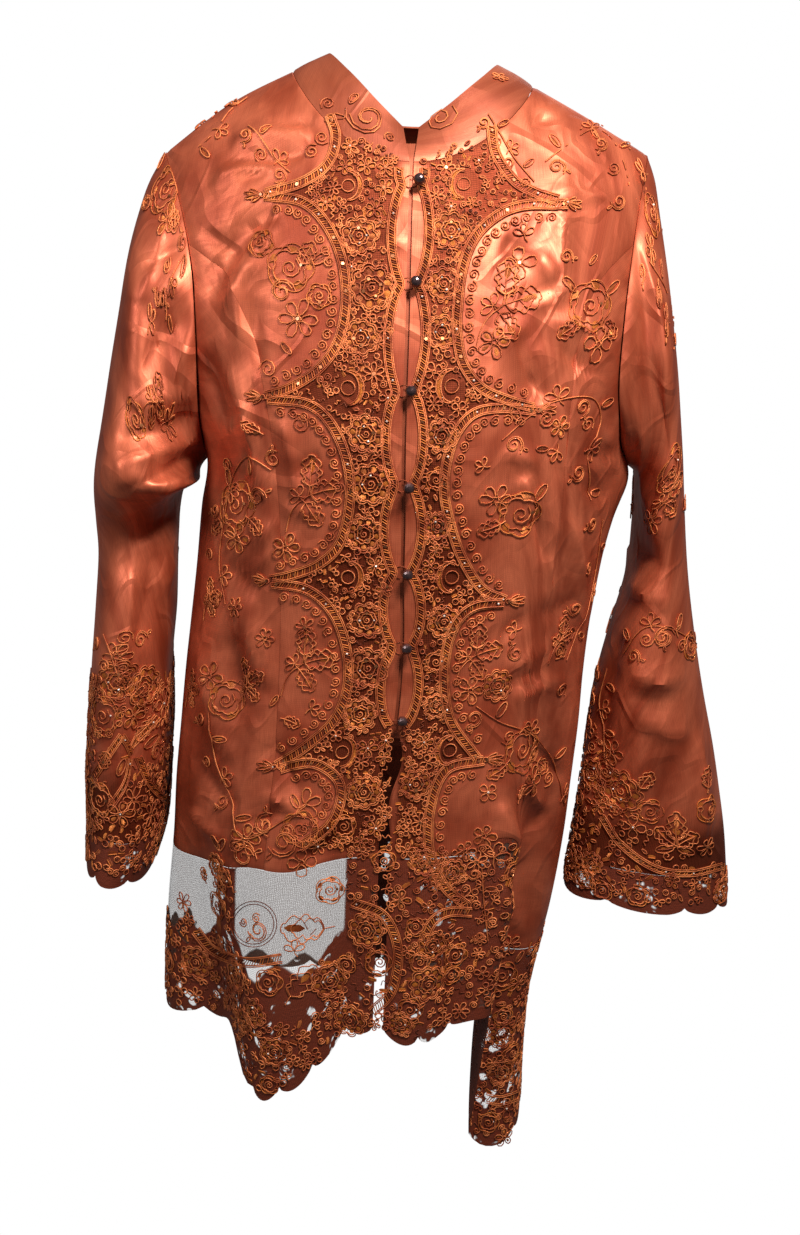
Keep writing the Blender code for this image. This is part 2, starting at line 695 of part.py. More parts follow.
def collar_grid():
    flat, face = neck_ring()
    base = body(flat[:, 0], flat[:, 1], face)
    base_out = body_normal(flat[:, 0], flat[:, 1], face)
    turns = np.linspace(-1, 1, len(flat))
    top = np.stack([COLLAR_TOP.at(axis, turns) for axis in "xyz"], axis=-1)
    share = np.linspace(0, 1, COLLAR_ROWS + 1)[:, None, None]
    points = base[None] * (1 - share) + top[None] * share
    bow = np.sin(share * math.pi) * COLLAR_BOW
    centre = np.array(COLLAR_CENTRE)
    points = points + unit((points - centre) * np.array([1, 1, 0])) * bow
    along = np.gradient(base, axis=0)
    inside = unit(np.cross(along, base_out))
    inside *= np.sign(np.sum(inside * (top - base), axis=-1, keepdims=True))
    out = grid_normals(points, wrap=False)
    if np.sum(out[1] * (points[1] - centre)) < 0:
        out = -out
    points[0] = base + inside * SEAM
    out[0] = base_out
    return points, out


def build_collar():
    points, out = collar_grid()
    points = inset(points, rows=(False, False))
    wall("collar", points, -out, CLOTH, COLLAR_SATIN)
    return points, out


def underlap_run(plain, normals, share):
    """Points behind one front, from its edge column towards its next, pressed against its inside."""
    place = plain[:, 0] * (1 - share) + plain[:, 1] * share
    out = unit(normals[:, 0] * (1 - share) + normals[:, 1] * share)
    return place - out * (CLOTH + 1.5 * SEAM), out


def build_underlap(fronts, collar):
    """Narrow satin band behind the buttoned edges, up behind the collar's ends."""
    collar_points, collar_out = collar
    columns = []
    for side, share in ((-1, UNDERLAP_SHARE), (-1, 0.0), (1, 0.0), (1, UNDERLAP_SHARE)):
        plain, normals, _ = fronts[side]
        place, out = underlap_run(plain, normals, share)
        chosen = plain[:, 0, 2] > LAST_BUTTON_Z - 0.02
        end = 0 if side < 0 else -1
        beside = 1 if side < 0 else -2
        rise = collar_points[1:3, end] * (1 - share) + collar_points[1:3, beside] * share
        rise_out = unit(collar_out[1:3, end] * (1 - share) + collar_out[1:3, beside] * share)
        rise = rise - rise_out * (CLOTH + 2 * SEAM)
        columns.append((np.concatenate([place[chosen], rise]), np.concatenate([out[chosen], rise_out])))
    points = np.stack([column[0] for column in columns], axis=1)
    out = np.stack([column[1] for column in columns], axis=1)
    wall("front_underlap", points, -out, CLOTH, SATIN)


def build_button(number, height, front):
    """Ball on a short shank, square to the left front beside its edge."""
    plain, normals, raised = front
    edge = plain + normals * raised[..., None]
    run = edge[:, 0] * (1 - BUTTON_SHARE) + edge[:, 1] * BUTTON_SHARE
    base = np.array([np.interp(height, run[:, 2], run[:, axis]) for axis in range(3)])
    out = unit(np.array([np.interp(height, run[:, 2], normals[:, 0, axis]) for axis in range(3)]))
    base = base + out * SEAM * 1.5
    side = unit(np.cross(out, np.array([0.0, 0.0, 1.0])))
    up = np.cross(side, out)
    middle = SHANK_LENGTH + math.sqrt(BALL_RADIUS**2 - SHANK_RADIUS**2)
    start = math.asin(SHANK_RADIUS / BALL_RADIUS)
    profile = [(SHANK_RADIUS, 0.0)]
    for angle in np.linspace(start, math.pi, BALL_ROWS + 1)[:-1]:
        profile.append((BALL_RADIUS * math.sin(angle), middle - BALL_RADIUS * math.cos(angle)))
    mesh = bmesh.new()
    rings = []
    for radius, high in profile:
        ring = []
        for angle in np.linspace(0, 2 * math.pi, BALL_SIDES + 1)[:-1]:
            beside = side * math.cos(angle) + up * math.sin(angle)
            ring.append(mesh.verts.new(base + out * high + radius * beside))
        rings.append(ring)
    for lower, upper in zip(rings, rings[1:]):
        for i, vertex in enumerate(lower):
            after = (i + 1) % len(lower)
            mesh.faces.new([vertex, lower[after], upper[after], upper[i]])
    mesh.faces.new(rings[0][::-1])
    pole = mesh.verts.new(base + out * (middle + BALL_RADIUS))
    for i, vertex in enumerate(rings[-1]):
        mesh.faces.new([vertex, rings[-1][(i + 1) % len(rings[-1])], pole])
    bmesh.ops.triangulate(mesh, faces=mesh.faces)
    if mesh.calc_volume(signed=True) < 0:
        bmesh.ops.reverse_faces(mesh, faces=mesh.faces)
    data = bpy.data.meshes.new(f"button_{number}")
    mesh.to_mesh(data)
    mesh.free()
    data.materials.append(METAL)
    data.shade_smooth()
    bpy.context.collection.objects.link(bpy.data.objects.new(f"button_{number}", data))


def build_body():
    fronts = {}
    for side in (-1, 1):
        name = side_name(side)
        centre = front_centre_flat(side)
        fronts[side] = panel(f"front_centre_{name}", centre, FRONT)
        flank = front_side_flat(side)
        panel(f"front_side_{name}", flank, FRONT)
        turns = np.concatenate([centre[0, :, 0], flank[0, 1:, 0]])
        hem_lace(f"hem_lace_front_{name}", turns, FRONT)
    back = back_flat()
    panel("back", back, BACK)
    hem_lace("hem_lace_back", back[0, :, 0], BACK)
    return fronts


fronts = build_body()
for side in (-1, 1):
    build_sleeve(side)
collar = build_collar()
build_underlap(fronts, collar)
for number, height in enumerate(BUTTON_HEIGHTS, start=1):
    build_button(number, height, fronts[1])
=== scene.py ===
"""Looks of a long lace-trimmed kebaya jacket, filled out as when worn, in metres.

+Z is up, the front faces -Y, and right and left are the wearer's, so the right side is at -X.
Places named across and down are read in the photograph, from its top left corner, and are
carried along the line of sight onto the cloth.
"""

import itertools
import math

import bpy
import numpy as np
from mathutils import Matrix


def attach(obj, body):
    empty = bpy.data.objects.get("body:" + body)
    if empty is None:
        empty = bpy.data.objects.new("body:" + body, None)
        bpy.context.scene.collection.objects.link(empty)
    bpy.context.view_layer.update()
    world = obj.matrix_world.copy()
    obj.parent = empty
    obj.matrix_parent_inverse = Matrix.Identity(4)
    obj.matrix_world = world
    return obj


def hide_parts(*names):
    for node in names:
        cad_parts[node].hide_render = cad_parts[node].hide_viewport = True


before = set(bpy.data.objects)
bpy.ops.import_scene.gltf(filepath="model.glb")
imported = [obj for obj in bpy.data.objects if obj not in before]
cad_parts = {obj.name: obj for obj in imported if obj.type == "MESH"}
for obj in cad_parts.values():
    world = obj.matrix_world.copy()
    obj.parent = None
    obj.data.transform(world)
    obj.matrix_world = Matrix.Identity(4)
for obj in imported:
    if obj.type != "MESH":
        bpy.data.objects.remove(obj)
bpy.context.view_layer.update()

# Cloth and seams
SATIN_THICK = 0.0011
NET_THICK = 0.0005
COLLAR_THICK = 0.0017
SEAM = 0.0003
FRONT, BACK = -1, 1
SEAM_DIP = 0.0007
CREASE_SHARE, STEEPEST = 2.0, 0.85

# Camera
PHOTO_WIDE, PHOTO_HIGH = 800, 1235
FOCAL = 1250.0
SENSOR = 36.0
EYE = np.array([-0.0108, -1.105, -0.220])
LOOK_DOWN = math.radians(12)
FACE_DEPTH = -0.10

# Studio: how white the backdrop shows, and how much it lights
SEEN_WHITE, AMBIENT = 1.0, 0.13

# Heights that part the body
ARMPIT_Z = -0.310
NOTCH_Z = -0.135
NECK_FRONT_Z = -0.076
NECK_BACK_Z = -0.045
NECK_HALF = 0.099

# Mesh counts: rows up the body, columns across it
LOW_ROWS, TOP_ROWS, SIDE_COLUMNS = 112, 36, 24
NECK_COLUMNS, SHOULDER_COLUMNS = 24, 24
FRONT_COLUMNS = NECK_COLUMNS + SHOULDER_COLUMNS
BACK_COLUMNS = 2 * FRONT_COLUMNS
EDGE_KNEE = 15 / 22
HEM_ROWS, CUFF_ROWS, COLLAR_ROWS = 48, 12, 12
SLEEVE_ROWS = 104
LAST_SLEEVE_RING = 14

# Lace edges: how many scallops each panel's hem has, and how deep they are
CENTRE_SCALLOPS, SIDE_SCALLOPS, BACK_SCALLOPS, CUFF_SCALLOPS = 4, 2, 8, 8
SCALLOP_DROP = 0.010
CUFF_DROP = 0.007

# Front opening
EDGE_GAP = 0.0015
LAST_BUTTON_Z = -0.517
SCALLOP_HIGH = 0.076
SCALLOP_DEEP = 0.011
SCALLOP_FADE = 0.100
UNDERLAP_DEEP, UNDERLAP_HALF, UNDERLAP_BELOW, UNDERLAP_ROWS = 0.0018, 0.009, 0.017, 60


class Table:
    """Rows of named columns, read off smoothly between the rows along the first column."""

    def __init__(self, names, rows):
        self.names = names.split()
        self.data = np.array(sorted(rows), dtype=float)

    def at(self, name, where):
        keys = self.data[:, 0]
        values = self.data[:, self.names.index(name)]
        slopes = np.gradient(values, keys)
        where = np.clip(where, keys[0], keys[-1])
        i = np.clip(np.searchsorted(keys, where) - 1, 0, len(keys) - 2)
        span = keys[i + 1] - keys[i]
        t = (where - keys[i]) / span
        start, end = values[i], values[i + 1]
        bend = (slopes[i] * (1 - t) - slopes[i + 1] * t) * span + (end - start) * (2 * t - 1)
        return start * (1 - t) + end * t + t * (1 - t) * bend


# Body sections: side seams and centre across, half depths front and back
SECTIONS = Table("z right centre left front back", [
    (0.06, -0.236, 0, 0.226, 0.105, 0.1),
    (-0.05, -0.229, -0.001, 0.219, 0.108, 0.102),
    (-0.12, -0.221, -0.003, 0.212, 0.115, 0.108),
    (-0.2, -0.208, -0.005, 0.202, 0.122, 0.11),
    (-0.26, -0.196, -0.007, 0.191, 0.126, 0.108),
    (-0.31, -0.179, -0.008, 0.179, 0.126, 0.106),
    (-0.35, -0.185, -0.008, 0.178, 0.122, 0.104),
    (-0.4, -0.191, -0.009, 0.168, 0.117, 0.102),
    (-0.45, -0.198, -0.009, 0.16, 0.113, 0.102),
    (-0.5, -0.205, -0.012, 0.155, 0.112, 0.104),
    (-0.55, -0.211, -0.018, 0.152, 0.113, 0.108),
    (-0.6, -0.217, -0.0225, 0.147, 0.115, 0.112),
    (-0.65, -0.221, -0.0245, 0.142, 0.117, 0.114),
    (-0.72, -0.229, -0.027, 0.131, 0.118, 0.115),
    (-0.8, -0.234, -0.03, 0.113, 0.118, 0.115),
    (-0.88, -0.236, -0.032, 0.107, 0.116, 0.114),
    (-0.98, -0.237, -0.033, 0.107, 0.114, 0.112),
])

# Line over the shoulders, seen from the front
SHOULDERS = Table("x z", [
    (-0.24, -0.08),
    (-0.207, -0.057),
    (-0.15, -0.018),
    (-0.099, 0.006),
    (-0.05, 0.026),
    (0, 0.033),
    (0.05, 0.02),
    (0.099, -0.006),
    (0.15, -0.033),
    (0.19, -0.056),
    (0.23, -0.08),
])

# Seams that run down the body, as the distance across at each height
ARMHOLES = Table("z right left", [
    (-0.31, -0.179, 0.179),
    (-0.3, -0.1785, 0.177),
    (-0.285, -0.178, 0.174),
    (-0.26, -0.177, 0.169),
    (-0.2, -0.176, 0.17),
    (-0.15, -0.179, 0.176),
    (-0.1, -0.19, 0.185),
    (-0.05, -0.209, 0.198),
])
PRINCESS = Table("z right left", [
    (-0.96, -0.132, 0.07),
    (-0.66, -0.125, 0.096),
    (-0.58, -0.118, 0.103),
    (-0.45, -0.11, 0.111),
    (-0.325, -0.109, 0.121),
    (-0.245, -0.119, 0.127),
    (-0.2, -0.13, 0.134),
    (-0.16, -0.15, 0.152),
    (-0.135, -0.1805, 0.1785),
])
TIP_X = {-1: -0.206, 1: 0.193}

# Hem heights round the body: turn goes from -1 at the right side seam to 1 at the left one
FRONT_HEMS = Table("turn cloth lace", [
    (-1, -0.665, -0.815),
    (-0.62, -0.66, -0.808),
    (-0.45, -0.655, -0.81),
    (-0.39, -0.652, -0.842),
    (-0.24, -0.65, -0.846),
    (-0.17, -0.643, -0.828),
    (-0.09, -0.638, -0.795),
    (0, -0.638, -0.793),
    (0.135, -0.638, -0.8),
    (0.25, -0.638, -0.794),
    (0.455, -0.648, -0.815),
    (0.525, -0.722, -0.903),
    (0.62, -0.745, -0.938),
    (0.76, -0.752, -0.938),
    (1, -0.752, -0.905),
])
BACK_HEMS = Table("turn cloth lace", [
    (-1, -0.665, -0.815),
    (-0.5, -0.672, -0.832),
    (0, -0.692, -0.852),
    (0.5, -0.722, -0.88),
    (1, -0.752, -0.905),
])

# Folds of the body: where they lie at the hem, how wide in turn, how far out, and from where to where
FOLDS = Table("row face turn wide out start full lean", [
    (1, FRONT, -0.6, 0.14, -0.024, -0.56, -0.8, 0.1),
    (2, FRONT, -0.29, 0.1, 0.014, -0.5, -0.8, 0.02),
    (3, FRONT, -0.11, 0.06, -0.008, -0.58, -0.8, 0),
    (4, FRONT, 0.15, 0.08, 0.008, -0.56, -0.78, 0),
    (5, FRONT, 0.4, 0.07, 0.016, -0.44, -0.72, 0.05),
    (6, FRONT, 0.59, 0.1, -0.03, -0.48, -0.76, 0.03),
    (7, BACK, -0.62, 0.13, 0.012, -0.46, -0.76, 0),
    (8, BACK, -0.28, 0.12, -0.012, -0.5, -0.78, 0),
    (9, BACK, 0.06, 0.12, 0.013, -0.48, -0.78, 0),
    (10, BACK, 0.38, 0.12, -0.013, -0.5, -0.8, 0),
    (11, BACK, 0.7, 0.12, 0.012, -0.46, -0.76, 0),
])
SIDE_BULGE = {"z": -0.325, "high": 0.026, "wide": 0.13, "out": 0.012}

# Sleeve rings down the arm: outer line, inner line, middle and half depth front to back
RIGHT_SLEEVE = Table("ring outx outz inx inz mid deep", [
    (0, -0.206, -0.057, -0.18, -0.311, 0, 0.062),
    (1, -0.219, -0.077, -0.183, -0.314, 0, 0.068),
    (2, -0.228, -0.098, -0.185, -0.3165, 0, 0.072),
    (3, -0.237, -0.13, -0.1865, -0.319, -0.001, 0.075),
    (4, -0.246, -0.176, -0.1875, -0.3215, -0.003, 0.078),
    (5, -0.256, -0.226, -0.188, -0.324, -0.006, 0.08),
    (6, -0.265, -0.278, -0.188, -0.327, -0.01, 0.082),
    (7, -0.273, -0.328, -0.19, -0.331, -0.012, 0.082),
    (8, -0.278, -0.364, -0.203, -0.34, 0.002, 0.072),
    (9, -0.28, -0.4, -0.207, -0.38, 0.01, 0.07),
    (10, -0.284, -0.445, -0.211, -0.44, 0.01, 0.072),
    (11, -0.289, -0.495, -0.22, -0.495, 0.008, 0.073),
    (12, -0.294, -0.545, -0.223, -0.55, 0.006, 0.074),
    (13, -0.298, -0.595, -0.227, -0.605, 0.005, 0.075),
    (14, -0.299, -0.632, -0.232, -0.652, 0.005, 0.076),
    (15, -0.301, -0.667, -0.243, -0.688, 0.005, 0.077),
])
LEFT_SLEEVE = Table("ring outx outz inx inz mid deep", [
    (0, 0.193, -0.0575, 0.18, -0.311, 0, 0.062),
    (1, 0.201, -0.077, 0.183, -0.314, 0.002, 0.066),
    (2, 0.207, -0.102, 0.186, -0.317, 0.006, 0.068),
    (3, 0.214, -0.14, 0.193, -0.32, 0.01, 0.068),
    (4, 0.221, -0.185, 0.1985, -0.324, 0.014, 0.068),
    (5, 0.229, -0.235, 0.202, -0.33, 0.018, 0.067),
    (6, 0.237, -0.295, 0.2035, -0.345, 0.022, 0.066),
    (7, 0.244, -0.355, 0.203, -0.375, 0.026, 0.064),
    (8, 0.251, -0.415, 0.199, -0.42, 0.028, 0.062),
    (9, 0.26, -0.47, 0.185, -0.47, 0.028, 0.06),
    (10, 0.271, -0.525, 0.173, -0.52, 0.028, 0.058),
    (11, 0.283, -0.578, 0.167, -0.568, 0.028, 0.056),
    (12, 0.292, -0.625, 0.162, -0.613, 0.028, 0.054),
    (13, 0.299, -0.665, 0.157, -0.653, 0.028, 0.053),
    (14, 0.303, -0.7, 0.152, -0.687, 0.028, 0.052),
    (15, 0.306, -0.733, 0.148, -0.718, 0.028, 0.052),
])

# Soft folds of the sleeves: ring, place round the arm in turns from the outer line, how far out
SLEEVE_FOLDS = {
    -1: Table("row ring round long wide out", [
        (1, 3.5, 0.2, 1, 0.1, 0.005),
        (2, 6.6, 0.3, 0.7, 0.16, 0.009),
        (3, 8.6, 0.3, 0.6, 0.16, -0.008),
        (4, 10.6, 0.22, 1, 0.09, 0.006),
        (5, 12.5, 0.72, 1.4, 0.1, 0.007),
        (6, 9.5, 0.6, 1.2, 0.12, -0.006),
    ]),
    1: Table("row ring round long wide out", [
        (1, 4, 0.24, 1.3, 0.08, 0.006),
        (2, 7.5, 0.2, 1.1, 0.09, -0.006),
        (3, 9.5, 0.3, 0.9, 0.1, 0.007),
        (4, 12, 0.17, 1.4, 0.08, 0.006),
        (5, 12.5, 0.34, 1.4, 0.08, -0.006),
        (6, 10.5, 0.74, 1.6, 0.12, 0.008),
    ]),
}

# Top edge of the collar, from its right end round the back to its left end
COLLAR_TOP = Table("turn x y z", [
    (-1, -0.008, -0.062, -0.047),
    (-0.8, -0.028, -0.058, -0.027),
    (-0.62, -0.052, -0.04, 0),
    (-0.5, -0.069, -0.004, 0.02),
    (-0.38, -0.062, 0.026, 0.006),
    (-0.2, -0.038, 0.044, -0.02),
    (0, 0, 0.05, -0.028),
    (0.2, 0.038, 0.044, -0.023),
    (0.38, 0.062, 0.026, -0.002),
    (0.5, 0.07, -0.004, 0.011),
    (0.62, 0.054, -0.04, -0.006),
    (0.8, 0.028, -0.058, -0.029),
    (1, 0.004, -0.062, -0.047),
])

# Creases on the front, read in the photograph: both ends, then bow, half width and height in mm.
# A crease stands out where its height is above 0. Some end with their lop, which is how much
# wider their lower right side is.
BODY, RIGHT_ARM, LEFT_ARM, ALL = 0, -1, 1, 2
FRONT_CREASES = {
    # across down across_end down_end bow wide high lop
    ALL: [
        (222, 132, 308, 128, -4, 9, 3.5), (262, 110, 312, 112, 2, 6, -3.5), (214, 152, 306, 146, 3, 7, -5),
        (206, 172, 282, 166, -5, 8, 4, 0.8), (234, 170, 264, 166, 1, 5, -3),
        (274, 206, 198, 300, 9, 12, -7, 0.7), (288, 214, 222, 318, 6, 8, 4, 0.8),
        (236, 268, 282, 266, 1, 4, 2.5), (196, 226, 228, 244, 2, 5, -3.5), (202, 340, 228, 342, 1, 4, 3),
        (536, 112, 562, 104, -2, 8, -2.5), (572, 156, 566, 300, 3, 7, 2.5), (545, 188, 628, 190, 1, 4, 2),
    ],
    BODY: [
        (232, 276, 240, 352, -2, 5, 3, 1.2), (252, 300, 262, 372, 2, 6, -2.5),
        (203, 362, 232, 424, 3, 9, -6, 0.8), (224, 372, 256, 452, -3, 7, 3.5),
        (250, 412, 268, 500, 4, 6, 4.5, 1.2), (262, 424, 240, 492, 3, 5, -3),
        (282, 420, 300, 500, -3, 7, 2.5), (292, 470, 322, 456, 2, 5, -2.5),
        (282, 508, 322, 512, -2, 4, 3.5), (254, 542, 276, 524, 1, 5, 4), (256, 568, 275, 548, 1, 4, 3),
        (224, 566, 262, 592, 2, 6, -3), (243, 600, 268, 690, 3, 8, 3.5), (228, 640, 236, 730, -3, 8, -3.5),
        (198, 732, 230, 766, -2, 5, 4, 0.8), (190, 768, 236, 812, 3, 6, -3), (190, 660, 206, 740, -2, 7, 3),
        (272, 690, 228, 905, 5, 6, 4.5, 1.3), (262, 794, 304, 812, -2, 6, 5, 0.7),
        (250, 822, 290, 800, 2, 5, -4), (270, 742, 300, 792, -3, 6, -3), (342, 796, 292, 850, -4, 7, 4),
        (306, 852, 340, 828, 2, 5, -3), (180, 830, 222, 846, 2, 6, 3), (504, 240, 538, 262, 2, 7, -3.5),
        (530, 250, 556, 288, -3, 8, 3), (531, 298, 570, 268, 3, 4, -4), (526, 308, 574, 282, 3, 5, 3),
        (516, 336, 552, 404, 6, 10, -5, 0.8), (506, 322, 530, 380, 4, 8, 3), (546, 322, 598, 336, -3, 6, 3),
        (560, 348, 606, 372, 3, 6, -3), (500, 452, 540, 466, -2, 5, 3), (520, 476, 530, 522, -4, 9, 5, 0.8),
        (532, 480, 548, 566, 2, 7, -4.5), (556, 470, 548, 590, -3, 6, 3), (592, 438, 624, 444, -2, 5, 4),
        (586, 456, 628, 458, 2, 4, -3.5), (592, 474, 630, 468, -2, 5, 4), (584, 492, 622, 496, 2, 6, -3),
        (572, 520, 588, 640, -4, 8, 3.5), (534, 602, 562, 584, 2, 4, 3.5), (540, 620, 580, 606, 2, 5, -3),
        (500, 668, 556, 648, 3, 5, 4.5), (506, 684, 552, 672, 3, 5, -4), (500, 640, 536, 616, -3, 5, -3.5),
        (512, 700, 572, 690, -2, 6, 3), (520, 770, 556, 830, 4, 8, 3.5), (540, 752, 574, 800, 3, 6, -3.5),
        (498, 800, 520, 880, -4, 8, 4.5), (524, 852, 564, 800, 3, 6, -3), (502, 880, 530, 960, 3, 6, 3),
        (392, 246, 404, 238, 1, 3, 2),
    ],
    RIGHT_ARM: [
        (204, 248, 148, 318, 5, 8, 5, 0.8), (190, 236, 138, 268, 4, 7, -4),
        (206, 290, 136, 378, 6, 7, -4.5), (204, 318, 158, 402, 4, 8, 5.5, 0.8),
        (152, 214, 132, 302, -4, 9, 3), (206, 382, 124, 404, -5, 7, 5, 0.8),
        (204, 404, 114, 440, -5, 6, -5), (208, 428, 112, 466, -4, 7, 6, 0.8),
        (196, 448, 112, 496, -4, 6, -5.5), (184, 474, 110, 520, -3, 7, 5, 0.9),
        (180, 510, 118, 548, -4, 7, -4), (178, 528, 148, 612, 4, 8, 4.5, 0.9),
        (140, 560, 126, 660, -4, 8, -3.5), (120, 580, 108, 700, -3, 7, 3.5), (160, 640, 148, 760, 3, 8, 3),
        (128, 720, 118, 820, -3, 7, -3),
    ],
    LEFT_ARM: [
        (646, 226, 676, 420, -6, 8, 5, 0.8), (638, 214, 658, 352, -5, 7, -4),
        (652, 352, 684, 470, -4, 7, -4), (640, 404, 676, 560, -5, 8, 4.5, 0.9),
        (636, 520, 684, 590, 4, 7, -4), (634, 592, 690, 620, 4, 7, 4, 0.8),
        (644, 696, 706, 698, 4, 7, 6, 0.6), (640, 716, 704, 722, 4, 6, -5),
        (648, 742, 710, 760, 3, 7, 4, 0.8), (622, 640, 600, 760, -3, 8, 4),
        (640, 660, 612, 830, 4, 8, -4.5), (660, 760, 640, 880, -4, 9, 4), (690, 780, 676, 890, 4, 8, -3.5),
        (720, 760, 722, 890, -3, 8, 3.5),
    ],
}

# Creases on the hidden back, in metres across and up, then bow, half width and height in mm
BACK_CREASES = {
    # x z x_end z_end bow wide high lop
    ALL: [
        (0.03, -0.07, 0.15, -0.062, -6, 8, 4), (0.06, -0.095, 0.176, -0.11, 5, 7, -3.5),
        (-0.15, -0.06, -0.02, -0.078, 6, 9, 4), (-0.19, -0.11, -0.06, -0.12, -5, 7, -4),
        (-0.2, -0.205, -0.09, -0.15, 7, 9, 5, 0.8), (-0.18, -0.24, -0.09, -0.2, 5, 8, -4),
        (0.2, -0.19, 0.09, -0.155, -7, 9, 4.5, 1.2), (0.18, -0.235, 0.08, -0.205, -5, 7, -4),
    ],
    BODY: [
        (-0.06, -0.13, 0.04, -0.138, 4, 8, -2.5), (-0.14, -0.3, -0.06, -0.33, 5, 8, 4.5),
        (-0.165, -0.345, -0.07, -0.365, -5, 7, -4), (-0.15, -0.39, -0.04, -0.385, 5, 8, 5, 0.8),
        (-0.1, -0.425, 0.02, -0.41, -4, 7, -4), (0.04, -0.34, 0.135, -0.315, 5, 8, 4.5),
        (0.02, -0.375, 0.12, -0.372, -5, 7, -4), (0.03, -0.415, 0.13, -0.4, 4, 8, 4, 1.2),
        (-0.04, -0.46, 0.06, -0.452, 4, 9, 4), (-0.11, -0.47, -0.08, -0.64, -6, 10, 4.5),
        (-0.05, -0.5, -0.04, -0.66, 5, 9, -4), (0.01, -0.49, 0.03, -0.68, -5, 11, 4.5),
        (0.08, -0.48, 0.075, -0.65, 6, 9, -4.5), (0.12, -0.52, 0.105, -0.7, 4, 9, 4),
        (-0.17, -0.52, -0.16, -0.65, 4, 9, 4),
    ],
    RIGHT_ARM: [
        (-0.25, -0.22, -0.195, -0.18, 4, 8, 4), (-0.262, -0.29, -0.2, -0.25, 4, 7, -4),
        (-0.27, -0.35, -0.205, -0.31, 3, 7, 5, 0.8), (-0.272, -0.385, -0.212, -0.352, 3, 6, -5),
        (-0.278, -0.42, -0.215, -0.395, 3, 7, 5), (-0.28, -0.47, -0.225, -0.45, 3, 8, -4),
        (-0.25, -0.48, -0.262, -0.62, 4, 9, 4),
    ],
    LEFT_ARM: [
        (0.218, -0.18, 0.23, -0.32, -4, 8, 4.5), (0.205, -0.3, 0.238, -0.345, 3, 7, -4),
        (0.205, -0.4, 0.245, -0.44, 3, 7, 5), (0.195, -0.45, 0.25, -0.48, 3, 7, -4),
        (0.21, -0.5, 0.19, -0.64, 4, 9, 4.5), (0.25, -0.52, 0.262, -0.66, -4, 9, -4),
    ],
}


def side_name(side):
    return "right" if side < 0 else "left"


def face_name(face):
    return "front" if face < 0 else "back"


def unit(vectors):
    return vectors / np.maximum(np.linalg.norm(vectors, axis=-1, keepdims=True), 1e-12)


def pair(first, second):
    """Two numbers a place, from two arrays."""
    return np.stack([first, second], axis=-1)


def soft_step(t):
    t = np.clip(t, 0.0, 1.0)
    return t * t * (3 - 2 * t)


def to_photo(points):
    """Where points show in the photograph, across and down."""
    away = points - EYE
    ahead = away[..., 1] * math.cos(LOOK_DOWN) - away[..., 2] * math.sin(LOOK_DOWN)
    up = away[..., 1] * math.sin(LOOK_DOWN) + away[..., 2] * math.cos(LOOK_DOWN)
    across = PHOTO_WIDE / 2 + FOCAL * away[..., 0] / ahead
    return np.stack([across, PHOTO_HIGH / 2 - FOCAL * up / ahead], axis=-1)


def from_photo(across, down):
    """Distance across and height of what shows at a place of the photograph, as deep as the front."""
    up = (PHOTO_HIGH / 2 - down) / FOCAL
    ahead = math.cos(LOOK_DOWN) + up * math.sin(LOOK_DOWN)
    rise = up * math.cos(LOOK_DOWN) - math.sin(LOOK_DOWN)
    far = (FACE_DEPTH - EYE[1]) / ahead
    return EYE[0] + (across - PHOTO_WIDE / 2) / FOCAL * far, EYE[2] + rise * far


def turn_of(x, z):
    """Turn round the body, from -1 to 1, of a point at x across and z up."""
    centre = SECTIONS.at("centre", z)
    half = np.where(x < centre, centre - SECTIONS.at("right", z), SECTIONS.at("left", z) - centre)
    return np.arcsin(np.clip((x - centre) / half, -1, 1)) * 2 / math.pi


def crease_rows(groups, place):
    """Creases in metres by where they are: both ends, bow, half width, height, and a lop of 1 if none."""
    rows = {}
    for where, group in groups.items():
        rows[where] = [
            (*place(a, b), *place(a_end, b_end), *shape, 1)[:8] for a, b, a_end, b_end, *shape in group
        ]
    return rows


CREASES = {
    FRONT: crease_rows(FRONT_CREASES, from_photo), BACK: crease_rows(BACK_CREASES, lambda x, z: (x, z)),
}


def crease_push(x, z, face, where):
    """How far creases stand out at points seen from one face."""
    push = np.zeros(np.shape(x))
    for x0, z0, x1, z1, bow, wide, high, lop in CREASES[face][ALL] + CREASES[face][where]:
        bow, wide = bow / 1000, wide / 1000
        high = np.clip(high * CREASE_SHARE / 1000, -wide * STEEPEST, wide * STEEPEST)
        length = math.hypot(x1 - x0, z1 - z0)
        ahead = np.array([x1 - x0, z1 - z0]) / length
        run = (x - x0) * ahead[0] + (z - z0) * ahead[1]
        off = (x - x0) * ahead[1] - (z - z0) * ahead[0]
        t = np.clip(run / length, 0, 1)
        off = off - bow * 4 * t * (1 - t)
        past = run - t * length
        stretch = np.where(off > 0, wide * lop, wide)
        taper = (4 * t * (1 - t)) ** 0.6
        push += high * taper * np.exp(-np.abs(off / stretch) ** 1.2 - (past / wide) ** 2)
    return push


def fold_push(turn, z, face):
    """How far the body's folds stand out of its plain form."""
    push = np.zeros_like(z)
    for row in FOLDS.data:
        _, side, place, wide, out, start, full, lean = row
        grow = soft_step((start - z) / (start - full))
        middle = place - lean * (1 - grow)
        push += (face == side) * out * grow * np.exp(-(((turn - middle) / wide) ** 2))
    off_side = (1 - turn) / SIDE_BULGE["wide"]
    off_middle = (z - SIDE_BULGE["z"]) / SIDE_BULGE["high"]
    return push + SIDE_BULGE["out"] * np.exp(-(off_side**2) - off_middle**2)


